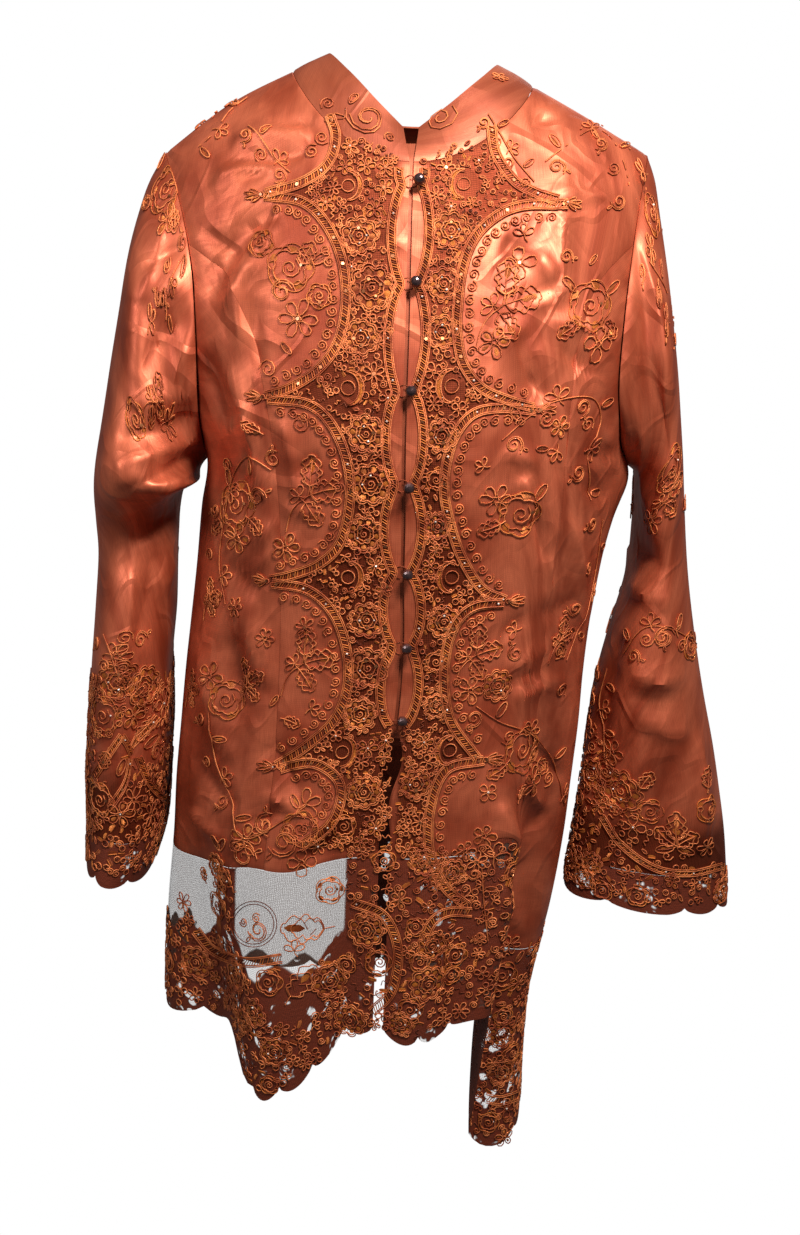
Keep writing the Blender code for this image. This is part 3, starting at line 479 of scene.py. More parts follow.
def body(turn, z, face):
    """Outer cloth of the body. Past a side seam or a shoulder it goes on round the other face."""
    turn, z, face = (np.array(v, dtype=float) for v in np.broadcast_arrays(turn, z, face))
    past = np.abs(turn) > 1
    turn = np.where(past, np.sign(turn) * 2 - turn, turn)
    face = np.where(past, -face, face)
    centre = SECTIONS.at("centre", z)
    side = np.where(turn < 0, SECTIONS.at("right", z), SECTIONS.at("left", z))
    sine = np.sin(turn * math.pi / 2)
    cosine = np.cos(turn * math.pi / 2)
    x = centre + (side - centre) * np.abs(sine)
    crest = SHOULDERS.at("z", x)
    past = z > crest
    z = np.where(past, 2 * crest - z, z)
    face = np.where(past, -face, face)
    rise = np.clip((z - ARMPIT_Z) / (crest - ARMPIT_Z), 0, 1)
    close = np.sqrt(1 - rise**2.5)
    deep = np.where(face < 0, SECTIONS.at("front", z), SECTIONS.at("back", z))
    y = face * deep * cosine * (1 + 0.15 * sine**2) * close
    push = fold_push(turn, z, face)
    return np.stack([x + push * sine, y + push * face * cosine, z], axis=-1)


def body_normal(turn, z, face):
    """Outward direction of the body's cloth, from points 2 mm either way."""
    step_turn, step_z = 0.01, 0.002
    across = body(turn + step_turn, z, face) - body(turn - step_turn, z, face)
    up = body(turn, z + step_z, face) - body(turn, z - step_z, face)
    face = np.broadcast_to(np.array(face, dtype=float), np.shape(turn))[..., None]
    return unit(np.cross(across, up) * -face)


def creased_body(turn, z, face, lift=0.0):
    """Body cloth with its creases, and its outward direction."""
    turn, z = np.broadcast_arrays(np.asarray(turn, float), np.asarray(z, float))
    plain = body(turn, z, face)
    out = body_normal(turn, z, face)
    hold = soft_step((1 - np.abs(turn)) / 0.16)
    hold = hold * soft_step((SHOULDERS.at("z", plain[..., 0]) - z) / 0.02)
    push = crease_push(plain[..., 0], plain[..., 2], face, BODY) * hold
    return plain + out * (push + lift)[..., None], out


def blend_edges(bottom, top, inner, outer):
    """Grid of flat points between four edges that share their corners, by Coons' rule."""
    u = np.linspace(0, 1, len(bottom))[None, :, None]
    v = np.linspace(0, 1, len(inner))[:, None, None]
    ruled = (1 - v) * bottom[None] + v * top[None] + (1 - u) * inner[:, None] + u * outer[:, None]
    corners = (1 - u) * (1 - v) * bottom[0] + u * (1 - v) * bottom[-1]
    return ruled - corners - (1 - u) * v * top[0] - u * v * top[-1]


def grid_edges(rows, columns):
    """Chosen edges of a grid, first and last row and column, each with the line inside it."""
    every = slice(None)
    edges = [(0, 1), (-1, -2), ((every, 0), (every, 1)), ((every, -1), (every, -2))]
    return itertools.compress(edges, (*rows, *columns))


def inset(points, rows=(True, True), columns=(True, True)):
    """Draws the chosen edges of a grid in by half a seam's gap."""
    points = points.copy()
    for edge, inside in grid_edges(rows, columns):
        points[edge] += unit(points[inside] - points[edge]) * SEAM / 2
    return points


def seam_dip(shape, rows=(True, True), columns=(True, True)):
    """How far a panel's chosen edges sink into their seams."""
    dip = np.zeros(shape)
    for edge, _ in grid_edges(rows, columns):
        dip[edge] = SEAM_DIP
    return dip[..., None]


def grid_normals(points, wrap):
    """Directions across a grid's two runs, by differences, closed round where it wraps."""
    if wrap:
        across = np.roll(points, -1, axis=1) - np.roll(points, 1, axis=1)
    else:
        across = np.gradient(points, axis=1)
    return unit(np.cross(across, np.gradient(points, axis=0)))


def hem_of(face):
    return FRONT_HEMS if face < 0 else BACK_HEMS


def edge_turn(side, z):
    """Turn of a front edge: straight beside the buttons, in scallops below the last one."""
    below = np.maximum(LAST_BUTTON_Z - z, 0)
    wave = np.sin(math.pi * below / SCALLOP_HIGH) ** 2
    bite = SCALLOP_DEEP * wave * np.exp(-below / SCALLOP_FADE)
    centre = SECTIONS.at("centre", z)
    half = np.abs(SECTIONS.at(side_name(side), z) - centre)
    return side * (EDGE_GAP + bite) / half * 2 / math.pi


def seam_points(table, side, heights):
    x = table.at(side_name(side), heights)
    return np.stack([turn_of(x, heights), heights], axis=-1)


def armhole_points(side):
    """Armhole from the armpit up to the shoulder tip, in its lower and upper stretches."""
    bow = 1 - np.cos(np.linspace(0, math.pi / 2, SIDE_COLUMNS + 1))
    lower = seam_points(ARMHOLES, side, ARMPIT_Z + (NOTCH_Z - ARMPIT_Z) * bow)
    lower[0] = (side, ARMPIT_Z)
    tip = float(SHOULDERS.at("z", TIP_X[side]))
    upper = seam_points(ARMHOLES, side, np.linspace(NOTCH_Z, tip, TOP_ROWS + 1))
    upper[-1] = (turn_of(TIP_X[side], tip), tip)
    return lower, upper


def shoulder_points(side):
    """Shoulder seam from the neck point out to the tip."""
    x = np.linspace(side * NECK_HALF, TIP_X[side], SHOULDER_COLUMNS + 1)
    z = SHOULDERS.at("z", x)
    return np.stack([turn_of(x, z), z], axis=-1)


def neckline_points(side, face):
    """Neckline from the middle out to the neck point."""
    bow = np.linspace(0, math.pi / 2, NECK_COLUMNS + 1)
    x = side * NECK_HALF * np.sin(bow)
    low = NECK_FRONT_Z if face < 0 else NECK_BACK_Z
    end = float(SHOULDERS.at("z", side * NECK_HALF))
    z = end + (low - end) * np.cos(bow) ** (1.6 if face < 0 else 1.2)
    z[-1] = end
    return np.stack([turn_of(x, z), z], axis=-1)


def hem_edge(turns, face):
    return np.stack([turns, hem_of(face).at("cloth", turns)], axis=-1)


def princess_foot(side):
    """Turn where the princess seam meets the cloth's hem."""
    z = -0.66
    for _ in range(4):
        turn = turn_of(PRINCESS.at(side_name(side), z), z)
        z = float(FRONT_HEMS.at("cloth", turn))
    return float(turn)


def princess_edge(side):
    foot = princess_foot(side)
    heights = np.linspace(float(FRONT_HEMS.at("cloth", foot)), NOTCH_Z, LOW_ROWS + 1)
    points = seam_points(PRINCESS, side, heights)
    points[0] = (foot, heights[0])
    points[-1] = armhole_points(side)[1][0]
    return points


def side_edge(side):
    heights = np.linspace(float(FRONT_HEMS.at("cloth", side)), ARMPIT_Z, LOW_ROWS + 1)
    return np.stack([np.full_like(heights, side), heights], axis=-1)


def join(*runs):
    """One run of points from several that share their ends."""
    return np.concatenate([runs[0]] + [run[1:] for run in runs[1:]])


def front_centre_flat(side):
    upper = armhole_points(side)[1]
    outer = join(princess_edge(side), upper)
    share = np.linspace(0, 1, len(outer))
    low = float(FRONT_HEMS.at("cloth", 0.0))
    heights = np.interp(share, [0, EDGE_KNEE, 1], [low, -0.185, NECK_FRONT_Z])
    inner = np.stack([edge_turn(side, heights), heights], axis=-1)
    neck = neckline_points(side, FRONT)
    neck[0] = inner[-1]
    top = join(neck, shoulder_points(side))
    turns = np.linspace(inner[0, 0], outer[0, 0], FRONT_COLUMNS + 1)
    bottom = hem_edge(turns, FRONT)
    inner[0] = bottom[0]
    outer[0] = bottom[-1]
    return blend_edges(bottom, top, inner, outer)


def front_side_flat(side):
    inner = princess_edge(side)
    outer = side_edge(side)
    top = armhole_points(side)[0][::-1]
    turns = np.linspace(inner[0, 0], side, SIDE_COLUMNS + 1)
    return blend_edges(hem_edge(turns, FRONT), top, inner, outer)


def back_flat():
    sides = {}
    for side in (-1, 1):
        lower, upper = armhole_points(side)
        sides[side] = join(side_edge(side), lower, upper)
    top = join(
        shoulder_points(-1)[::-1],
        neckline_points(-1, BACK)[::-1],
        neckline_points(1, BACK),
        shoulder_points(1),
    )
    turns = np.linspace(-1, 1, BACK_COLUMNS + 1)
    return blend_edges(hem_edge(turns, BACK), top, sides[-1], sides[1])


def plain_sleeve(side, ring, around):
    """Outer points of a sleeve at rings down the arm and places round it from the outer line."""
    table = RIGHT_SLEEVE if side < 0 else LEFT_SLEEVE
    ring, around = np.broadcast_arrays(np.asarray(ring, float), np.asarray(around, float))
    out = np.stack([table.at("outx", ring), table.at("mid", ring), table.at("outz", ring)], axis=-1)
    inn = np.stack([table.at("inx", ring), table.at("mid", ring), table.at("inz", ring)], axis=-1)
    reach = (out - inn) / 2
    angle = around * 2 * math.pi
    cosine, sine = np.cos(angle)[..., None], np.sin(angle)[..., None]
    push = np.zeros(ring.shape)
    for _, at_ring, place, long, wide, amount in SLEEVE_FOLDS[side].data:
        off = np.abs(around % 1 - place)
        off = np.minimum(off, 1 - off) / wide
        push += amount * np.exp(-(((ring - at_ring) / long) ** 2) - off**2)
    y = np.array([0.0, -1.0, 0.0])
    points = (out + inn) / 2 + reach * cosine + y * sine * table.at("deep", ring)[..., None]
    return points + push[..., None] * unit(unit(reach) * cosine + y * sine)


def armhole_ring(side):
    """Armhole seam all round, from the shoulder tip down the front and up the back."""
    lower, upper = armhole_points(side)
    down = join(lower, upper)[::-1]
    turn = np.concatenate([down[:, 0], down[-2:0:-1, 0]])
    z = np.concatenate([down[:, 1], down[-2:0:-1, 1]])
    face = np.where(np.arange(len(turn)) < len(down) - 1, FRONT, BACK)
    return body(turn, z, face), body_normal(turn, z, face)


def ring_rounds(side):
    """Place round the sleeve that each armhole point leads to."""
    lower, upper = armhole_points(side)
    down = join(lower, upper)[::-1]
    points = body(down[:, 0], down[:, 1], FRONT)
    steps = np.linalg.norm(np.diff(points, axis=0), axis=1)
    half = np.concatenate([[0], np.cumsum(steps)]) / steps.sum() / 2
    half = (half + np.linspace(0, 0.5, len(half))) / 2
    return np.concatenate([half, 1 - half[-2:0:-1]])


ROUNDS = {side: ring_rounds(side) for side in (-1, 1)}
ARMHOLE_RINGS = {side: armhole_ring(side) for side in (-1, 1)}
ARMHOLE_OFFSETS = {
    side: ARMHOLE_RINGS[side][0] - plain_sleeve(side, 0.0, ROUNDS[side]) for side in (-1, 1)
}


def held_sleeve(side, ring, around):
    """Sleeve drawn to its armhole over its first four rings."""
    ring, around = np.broadcast_arrays(np.asarray(ring, float), np.asarray(around, float))
    points = plain_sleeve(side, ring, around)
    hold = (1 - soft_step(ring / 4.0)) ** 1.5
    places = np.concatenate([ROUNDS[side], [1.0]])
    for axis in range(3):
        offset = np.append(ARMHOLE_OFFSETS[side][:, axis], ARMHOLE_OFFSETS[side][0, axis])
        points[..., axis] += np.interp(around % 1, places, offset) * hold
    return points


def creased_sleeve(side, ring, around, lift=0.0):
    """Sleeve cloth with its creases, and its outward direction."""
    ring, around = np.broadcast_arrays(np.asarray(ring, float), np.asarray(around, float))
    plain = held_sleeve(side, ring, around)
    step_round, step_ring = 0.006, 0.06
    across = held_sleeve(side, ring, around + step_round) - held_sleeve(side, ring, around - step_round)
    up = held_sleeve(side, ring - step_ring, around) - held_sleeve(side, ring + step_ring, around)
    out = unit(np.cross(across, up)) * -side
    sine = np.sin(around * 2 * math.pi)
    hold = soft_step(ring / 1.2)
    push = np.zeros(ring.shape)
    for face, weight in ((FRONT, soft_step(sine * 1.8)), (BACK, soft_step(-sine * 1.8))):
        push += crease_push(plain[..., 0], plain[..., 2], face, side) * weight * hold
    return plain + out * (push + lift)[..., None], out


def neck_ring():
    """Neckline all round, from the right front edge past the back to the left front edge."""
    runs = []
    for side in (-1, 1):
        front = neckline_points(side, FRONT)
        front[0] = (edge_turn(side, NECK_FRONT_Z), NECK_FRONT_Z)
        runs.append((front, neckline_points(side, BACK)))
    (right_front, right_back), (left_front, left_back) = runs
    flat = join(right_front, right_back[::-1], left_back, left_front[::-1])
    face = np.full(len(flat), BACK)
    face[: NECK_COLUMNS + 1] = FRONT
    face[-NECK_COLUMNS - 1:] = FRONT
    return flat, face


def collar_grid():
    """Outer points of the collar and their outward directions, from its base up."""
    flat, face = neck_ring()
    base = body(flat[:, 0], flat[:, 1], face)
    base_out = body_normal(flat[:, 0], flat[:, 1], face)
    turns = np.linspace(-1, 1, len(flat))
    top = np.stack([COLLAR_TOP.at(axis, turns) for axis in "xyz"], axis=-1)
    share = np.linspace(0, 1, COLLAR_ROWS + 1)[:, None, None]
    points = base[None] * (1 - share) + top[None] * share
    centre = np.array([0.0, 0.0, -0.03])
    bow = np.sin(share * math.pi) * 0.0025
    points = points + unit((points - centre) * np.array([1, 1, 0])) * bow
    inside = unit(np.cross(np.gradient(base, axis=0), base_out))
    inside *= np.sign(np.sum(inside * (top - base), axis=-1, keepdims=True))
    out = grid_normals(points, wrap=False)
    if np.sum(out[1] * (points[1] - centre)) < 0:
        out = -out
    points[0] = base + inside * SEAM
    out[0] = unit(base_out + out[1])
    return points, out


COLLAR_POINTS, COLLAR_OUT = collar_grid()


class Value:
    """A number socket of a material, so that its maths reads as maths."""

    def __init__(self, board, socket):
        self.board, self.socket = board, socket

    def maths(self, operation, first, second=0.0):
        node = self.board.node("ShaderNodeMath", {"operation": operation}, {0: first, 1: second})
        return Value(self.board, node.outputs[0])

    def __add__(self, other):
        return self.maths("ADD", self, other)

    def __sub__(self, other):
        return self.maths("SUBTRACT", self, other)

    def __mul__(self, other):
        return self.maths("MULTIPLY", self, other)

    def __radd__(self, other):
        return self.maths("ADD", other, self)

    def __rsub__(self, other):
        return self.maths("SUBTRACT", other, self)

    def sine(self):
        return self.maths("SINE", self)

    def size(self):
        return self.maths("ABSOLUTE", self)

    def most(self, other):
        return self.maths("MAXIMUM", self, other)

    def least(self, other):
        return self.maths("MINIMUM", self, other)

    def step(self, low, high):
        """0 below low and 1 above high, smooth between."""
        node = self.board.node(
            "ShaderNodeMapRange", {"interpolation_type": "SMOOTHSTEP"},
            {"Value": self, "From Min": low, "From Max": high},
        )
        return Value(self.board, node.outputs["Result"])


class Board:
    """A node tree, and the one way its nodes are made."""

    def __init__(self, tree):
        self.tree = tree

    def node(self, kind, settings=None, sockets=None):
        made = self.tree.nodes.new(kind)
        for name, value in (settings or {}).items():
            setattr(made, name, value)
        for name, value in (sockets or {}).items():
            value = value.socket if isinstance(value, Value) else value
            if isinstance(value, bpy.types.NodeSocket):
                self.tree.links.new(value, made.inputs[name])
            else:
                made.inputs[name].default_value = value
        return made

    def value(self, kind, output, settings=None, sockets=None):
        return Value(self, self.node(kind, settings, sockets).outputs[output])

    def mix(self, share, first, second):
        """Colour between two, as either links or triples."""
        ends = [(*c, 1) if isinstance(c, tuple) else c for c in (first, second)]
        node = self.node(
            "ShaderNodeMix", {"data_type": "RGBA"}, {"Factor": share, 6: ends[0], 7: ends[1]}
        )
        return node.outputs[2]

    def noise(self, place, scale, detail=2.0, rough=0.5, longer=(1, 1, 1), lean=0.0):
        """Noise from 0 to 1 with features of 1/scale metres, longer along some axes, and leant."""
        sockets = {"Vector": place, "Scale": longer, "Rotation": (0, lean, 0)}
        spread = self.node("ShaderNodeMapping", {"vector_type": "TEXTURE"}, sockets)
        sockets = {"Vector": spread.outputs[0], "Scale": scale, "Detail": detail, "Roughness": rough}
        return self.value("ShaderNodeTexNoise", "Fac", {}, sockets)


class Finish(Board):
    """A material with its shader, and the places that patterns are laid out on."""

    def __init__(self, name, **constants):
        self.material = bpy.data.materials.new(name)
        self.material.use_nodes = True
        super().__init__(self.material.node_tree)
        self.shader = self.tree.nodes["Principled BSDF"]
        self.shader.inputs["Specular IOR Level"].default_value = 0.5
        for socket, value in constants.items():
            self.shader.inputs[socket.replace("_", " ")].default_value = value

    def object_place(self):
        return self.node("ShaderNodeTexCoord").outputs["Object"]

    def cloth_place(self):
        return self.node("ShaderNodeUVMap", {"uv_map": "cloth"}).outputs["UV"]

    def mark(self, name):
        return self.value("ShaderNodeAttribute", "Fac", {"attribute_name": name})

    def set(self, socket, value):
        value = value.socket if isinstance(value, Value) else value
        self.tree.links.new(value, self.shader.inputs[socket])

    def bump(self, *layers):
        """Bumps one over another, each a height in metres as a value and its size."""
        normal = None
        for height, size in layers:
            sockets = {"Height": height, "Distance": size, "Strength": 1.0}
            if normal:
                sockets["Normal"] = normal
            normal = self.node("ShaderNodeBump", {}, sockets).outputs[0]
        self.set("Normal", normal)


def mesh_lines(finish, place, spacing):
    """Dark threads of a fine net: 1 on a thread and 0 in a hole."""
    cells = finish.value(
        "ShaderNodeTexVoronoi", "Distance", {"feature": "DISTANCE_TO_EDGE", "voronoi_dimensions": "2D"},
        {"Vector": place, "Scale": 1 / spacing, "Randomness": 0.25},
    )
    return 1 - cells.step(0.05, 0.16)


# Fine folds of the satin: how many a metre, half width, height in metres, lean from upright
SATIN_FOLDS = [(13, 0.16, 0.0042, 0.7), (18, 0.06, 0.0190, -0.9), (32, 0.06, 0.0110, 0.6)]


def make_satin(name, light, deep, brown, crumple=1.0):
    """Woven satin under fine net: warp streaks, broad patches of deep colour that are partly random tone and
    partly painted shade, soft crumples, dark meshy ground under lace.
    """
    finish = Finish(name)
    place = finish.cloth_place()
    lace = finish.mark("lace")
    streaks = finish.noise(place, 1100, 2, 0.6, (1, 20, 1))
    slubs = finish.noise(place, 240, 3, 0.6, (6, 1, 1))
    clouds = finish.noise(place, 14, 3, 0.55)
    net = mesh_lines(finish, place, 0.0016)
    # Broad patches between the deep and light colours: partly random tone of the satin, partly painted shade
    # standing in for the play of light over its folds.
    colour = finish.mix(clouds.step(0.3, 0.72), deep, light)
    colour = finish.mix((streaks - 0.5) * 0.55 + (slubs - 0.5) * 0.45 + net * 0.20 + 0.10, colour, brown)
    ground = finish.mix(net * 0.8, (0.150, 0.024, 0.008), (0.036, 0.006, 0.002))
    colour = finish.mix(lace * (0.80 + net * 0.18), colour, ground)
    finish.set("Base Color", colour)
    finish.set("Metallic", 0.56 + lace * 0.34)
    finish.set("Roughness", 0.47 + (slubs - 0.5) * 0.20 + lace * 0.18)
    solid = finish.object_place()
    patches = finish.noise(solid, 9, 2, 0.5).step(0.36, 0.62)
    layers = [(streaks + slubs * 0.5, 0.00006)]
    for scale, wide, high, lean in SATIN_FOLDS:
        fold = (finish.noise(solid, scale, 1, 0.4, (1, 1, 2.6), lean) - 0.5).size().least(wide)
        layers.insert(0, (fold * (patches if lean > 0 else 1 - patches) * -1.0, high * crumple))
    finish.bump(*layers)
    return finish.material


def make_net(name, thread, dark):
    """Sheer net: plain fine mesh where bare, and thick lace ground with small holes elsewhere."""
    finish = Finish(name, Metallic=0.45)
    place = finish.cloth_place()
    lace = finish.mark("lace")
    net = mesh_lines(finish, place, 0.0017)
    cells = finish.value(
        "ShaderNodeTexVoronoi", "Distance", {"feature": "F1", "voronoi_dimensions": "2D"},
        {"Vector": place, "Scale": 95.0, "Randomness": 1.0},
    )
    gate = finish.noise(place, 30, 3, 0.6).step(0.55, 0.60)
    holes = (1 - cells.step(0.32, 0.40)) * gate
    worked = (1 - holes) * lace.step(0.35, 0.65)
    clouds = finish.noise(place, 300, 3, 0.6)
    ground = finish.mix(net * 0.6 + clouds * 0.4, thread, dark)
    finish.set("Base Color", finish.mix(worked, (0.20, 0.125, 0.095), ground))
    finish.set("Alpha", (0.10 + net * 0.34).most(worked * 0.97))
    finish.set("Roughness", 0.55 + clouds * 0.2)
    finish.bump((worked * clouds, 0.0006))
    return finish.material


def make_thread(name, light, deep, metal, gap=0.0011):
    """Twisted cord: slanted strands along it, brighter on some lengths than on others."""
    finish = Finish(name, Metallic=metal)
    along = finish.mark("along")
    place = finish.object_place()
    patches = finish.noise(place, 55, 3, 0.6)
    flecks = finish.noise(place, 700, 2, 0.6)
    strand = ((along * (2 * math.pi / gap)).sine() * 0.5 + 0.5)
    colour = finish.mix(patches.step(0.32, 0.66), deep, light)
    dark = tuple(c * 0.25 for c in deep)
    finish.set("Base Color", finish.mix(strand * 0.30 + flecks * 0.22, colour, dark))
    finish.set("Roughness", 0.36 + flecks * 0.24)
    finish.bump((strand, 0.00015))
    return finish.material


def make_fill(name, light, deep):
    """Flat gold stitching: fine threads side by side, with dull gaps."""
    finish = Finish(name, Metallic=0.5)
    thread = finish.mark("thread")
    place = finish.object_place()
    patches = finish.noise(place, 42, 2, 0.5)
    flecks = finish.noise(place, 900, 2, 0.6)
    lines = (thread * (2 * math.pi / 0.00055)).sine() * 0.5 + 0.5
    colour = finish.mix(patches.step(0.30, 0.66), deep, light)
    dark = tuple(c * 0.30 for c in deep)
    finish.set("Base Color", finish.mix(lines * 0.35 + flecks * 0.25, colour, dark))
    finish.set("Roughness", 0.34 + flecks * 0.25)
    finish.bump((lines, 0.00018))
    return finish.material


def make_bead(name, colour, metal, rough):
    finish = Finish(name, Metallic=metal, Coat_Weight=0.35, Coat_Roughness=0.15)
    place = finish.object_place()
    patches = finish.noise(place, 210, 2, 0.6)
    dark = tuple(c * 0.45 for c in colour)
    finish.set("Base Color", finish.mix(patches.step(0.3, 0.7), dark, colour))
    finish.set("Roughness", rough + patches * 0.12)
    return finish.material


# Satin colours, light, deep and brown; the deep one is partly painted shade, laid in broad patches over the
# light one.
SATIN = make_satin("satin_under_net", (0.70, 0.165, 0.074), (0.34, 0.052, 0.018), (0.10, 0.013, 0.005))
COLLAR_SATIN = make_satin(
    "collar_plain_satin", (0.46, 0.110, 0.048), (0.28, 0.052, 0.020), (0.10, 0.016, 0.006), 0.4
)
NET = make_net("sheer_lace_net", (0.240, 0.038, 0.012), (0.075, 0.012, 0.004))
CORD = make_thread("copper_cord", (0.95, 0.280, 0.085), (0.42, 0.075, 0.021), 0.42)
DARK_CORD = make_thread("brown_thread", (0.44, 0.090, 0.027), (0.15, 0.025, 0.008), 0.45)
GOLD_CORD = make_thread("gold_cord", (0.96, 0.285, 0.055), (0.42, 0.078, 0.018), 0.42)
GOLD_FILL = make_fill("gold_stitching", (0.84, 0.250, 0.040), (0.30, 0.055, 0.013))
PEARL = make_bead("white_bead", (0.80, 0.62, 0.52), 0.0, 0.25)
SEQUIN = make_bead("copper_sequin", (0.62, 0.22, 0.09), 0.9, 0.30)
BUTTON = make_bead("dark_pearl", (0.10, 0.055, 0.055), 0.75, 0.14)


def finish_mesh(name, points, faces, material, marks=None, uv=None, sharp=50):
    """Object from points and faces, with its marks at the points and its cloth places."""
    data = bpy.data.meshes.new(name)
    data.from_pydata(points, [], faces)
    data.materials.append(material)
    data.shade_smooth()
    data.set_sharp_from_angle(angle=math.radians(sharp))
    for mark, values in (marks or {}).items():
        layer = data.attributes.new(mark, "FLOAT", "POINT")
        layer.data.foreach_set("value", np.ascontiguousarray(values, dtype=np.float32).ravel())
    if uv is not None:
        corners = np.empty(len(data.loops), dtype=np.int32)
        data.loops.foreach_get("vertex_index", corners)
        layer = data.uv_layers.new(name="cloth")
        layer.data.foreach_set("uv", np.ascontiguousarray(uv[corners], dtype=np.float32).ravel())
    item = bpy.data.objects.new(name, data)
    bpy.context.collection.objects.link(item)
    return item


def run_lengths(points, axis):
    steps = np.linalg.norm(np.diff(points, axis=axis), axis=-1)
    runs = np.cumsum(steps, axis=axis)
    pad = [(0, 0), (0, 0)]
    pad[axis] = (1, 0)
    return np.pad(runs, pad)


def shell(name, outer, out, thick, material, lace, wrap=False):
    """Closed thin wall of cloth between a grid of outer points and the same points moved inward."""
    rows, columns = outer.shape[:2]
    far = rows * columns
    points = np.concatenate([outer.reshape(-1, 3), (outer - out * thick).reshape(-1, 3)])
    faces, edges = [], {}
    for row, column in itertools.product(range(rows - 1), range(columns if wrap else columns - 1)):
        after = (column + 1) % columns
        face = (row * columns + column, row * columns + after,
                (row + 1) * columns + after, (row + 1) * columns + column)
        faces.append(face)
        faces.append(tuple(far + i for i in reversed(face)))
        for start, end in zip(face, face[1:] + face[:1]):
            edges[(start, end)] = True
    for start, end in edges:
        if (end, start) not in edges:
            faces.append((end, start, far + start, far + end))
    if face_direction(outer, out) < 0:
        faces = [face[::-1] for face in faces]
    closed = np.concatenate([outer, outer[:, :1]], axis=1) if wrap else outer
    u = run_lengths(closed, 1)[:, :columns]
    v = run_lengths(outer, 0)
    uv = np.tile(pair(u, v).reshape(-1, 2), (2, 1))
    marks = {"lace": np.tile(np.broadcast_to(lace, outer.shape[:2]).ravel(), 2)}
    item = finish_mesh(name, points, faces, material, marks, uv)
    return item


def face_direction(outer, out):
    """Above 0 where a grid's own turn of faces looks the way that its cloth does."""
    middle_row, middle_column = outer.shape[0] // 2, outer.shape[1] // 2
    here = outer[middle_row, middle_column]
    across = outer[middle_row, middle_column + 1] - here
    up = outer[middle_row + 1, middle_column] - here
    return float(np.dot(np.cross(across, up), out[middle_row, middle_column]))


def dress(item, slot, *nodes):
    """Hangs a finished piece on the body and hides the parts of the model that it takes the place of."""
    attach(item, "root")
    if nodes:
        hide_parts(*nodes)


# Dense lace on the front, read in the photograph: the outlines of its big arcs
RIGHT_ARCS = [
    [(330, 116), (336, 138), (328, 164), (304, 182), (266, 194)],
    [(264, 196), (302, 202), (326, 224), (342, 260), (346, 302), (338, 342), (318, 370), (290, 388),
     (266, 396)],
    [(268, 399), (310, 405), (335, 430), (349, 470), (349, 510), (339, 545), (318, 565), (292, 575),
     (270, 580)],
    [(272, 583), (308, 590), (334, 614), (347, 652), (347, 690), (333, 722), (304, 748), (276, 766)],
    [(280, 769), (312, 763), (336, 777), (341, 798), (330, 824), (300, 846)],
]
LEFT_ARCS = [
    [(491, 126), (496, 155), (514, 181), (533, 192), (556, 202)],
    [(566, 207), (529, 205), (500, 214), (475, 237), (462, 270), (457, 311), (457, 335), (463, 364),
     (481, 388), (507, 400), (534, 408)],
    [(536, 411), (503, 408), (475, 413), (457, 432), (447, 460), (444, 490), (449, 520), (461, 556),
     (481, 588), (505, 600)],
    [(503, 603), (476, 606), (458, 620), (447, 647), (444, 685), (451, 722), (477, 758)],
    [(484, 760), (447, 769), (431, 804), (429, 849), (444, 886), (468, 906)],
]


def smooth_path(points, step):
    """Even points on a smooth curve through the given ones."""
    points = np.asarray(points, dtype=float)
    points = np.concatenate([[2 * points[0] - points[1]], points, [2 * points[-1] - points[-2]]])
    dense = []
    t = np.linspace(0, 1, 16, endpoint=False)[:, None]
    for a, b, c, d in zip(points, points[1:], points[2:], points[3:]):
        dense.append(0.5 * (2 * b + (c - a) * t + (2 * a - 5 * b + 4 * c - d) * t**2
                            + (3 * b - a - 3 * c + d) * t**3))
    dense = np.concatenate(dense + [points[-2:-1]])
    runs = np.concatenate([[0], np.cumsum(np.linalg.norm(np.diff(dense, axis=0), axis=1))])
    count = max(3, int(round(runs[-1] / step)) + 1)
    places = np.linspace(0, runs[-1], count)
    return np.stack([np.interp(places, runs, dense[:, i]) for i in range(2)], axis=-1)


# Gold edging round the bare half moons beside the front edges, as one long wavy line each
MOON_REACH = 11
BUTTONS_DOWN = (182, 284, 391, 486, 572, 648, 726)
BUTTONS_ACROSS = (412, 409, 405, 404, 402, 402, 397)


def moon_edge(side):
    """Gold edging beside a front edge: it meets the edge at each button and bows away between."""
    down = np.arange(168, 732, 3.0)
    middle = np.interp(down, BUTTONS_DOWN, BUTTONS_ACROSS)
    phase = np.interp(down, BUTTONS_DOWN, np.arange(len(BUTTONS_DOWN)))
    reach = MOON_REACH * np.abs(np.sin(math.pi * phase)) ** 0.7
    reach = np.where(down < BUTTONS_DOWN[0], 5.0, reach)
    return np.stack([middle + side * (4 + reach), down], axis=-1)


def band_outline(side):
    """Closed outline of the dense lace beside one front edge."""
    arcs = RIGHT_ARCS if side < 0 else LEFT_ARCS
    outer = np.concatenate([smooth_path(arc, 6.0) for arc in arcs])
    foot = [(300, 852), (392, 852)] if side < 0 else [(468, 906), (392, 852)]
    head = [(360, 128), (400, 158)] if side < 0 else [(420, 158), (465, 138)]
    inner = moon_edge(side)[::-1]
    if side < 0:
        return np.concatenate([outer, foot, inner, head[::-1]])
    return np.concatenate([outer, foot, inner, head])


def inside_outline(points, outline):
    """Whether places lie in a closed outline."""
    x, y = points[..., 0], points[..., 1]
    inside = np.zeros(x.shape, dtype=bool)
    for (x0, y0), (x1, y1) in zip(outline, np.roll(outline, -1, axis=0)):
        if y0 == y1:
            continue
        crossed = ((y0 > y) != (y1 > y)) & (x < (x1 - x0) * (y - y0) / (y1 - y0) + x0)
        inside ^= crossed
    return inside


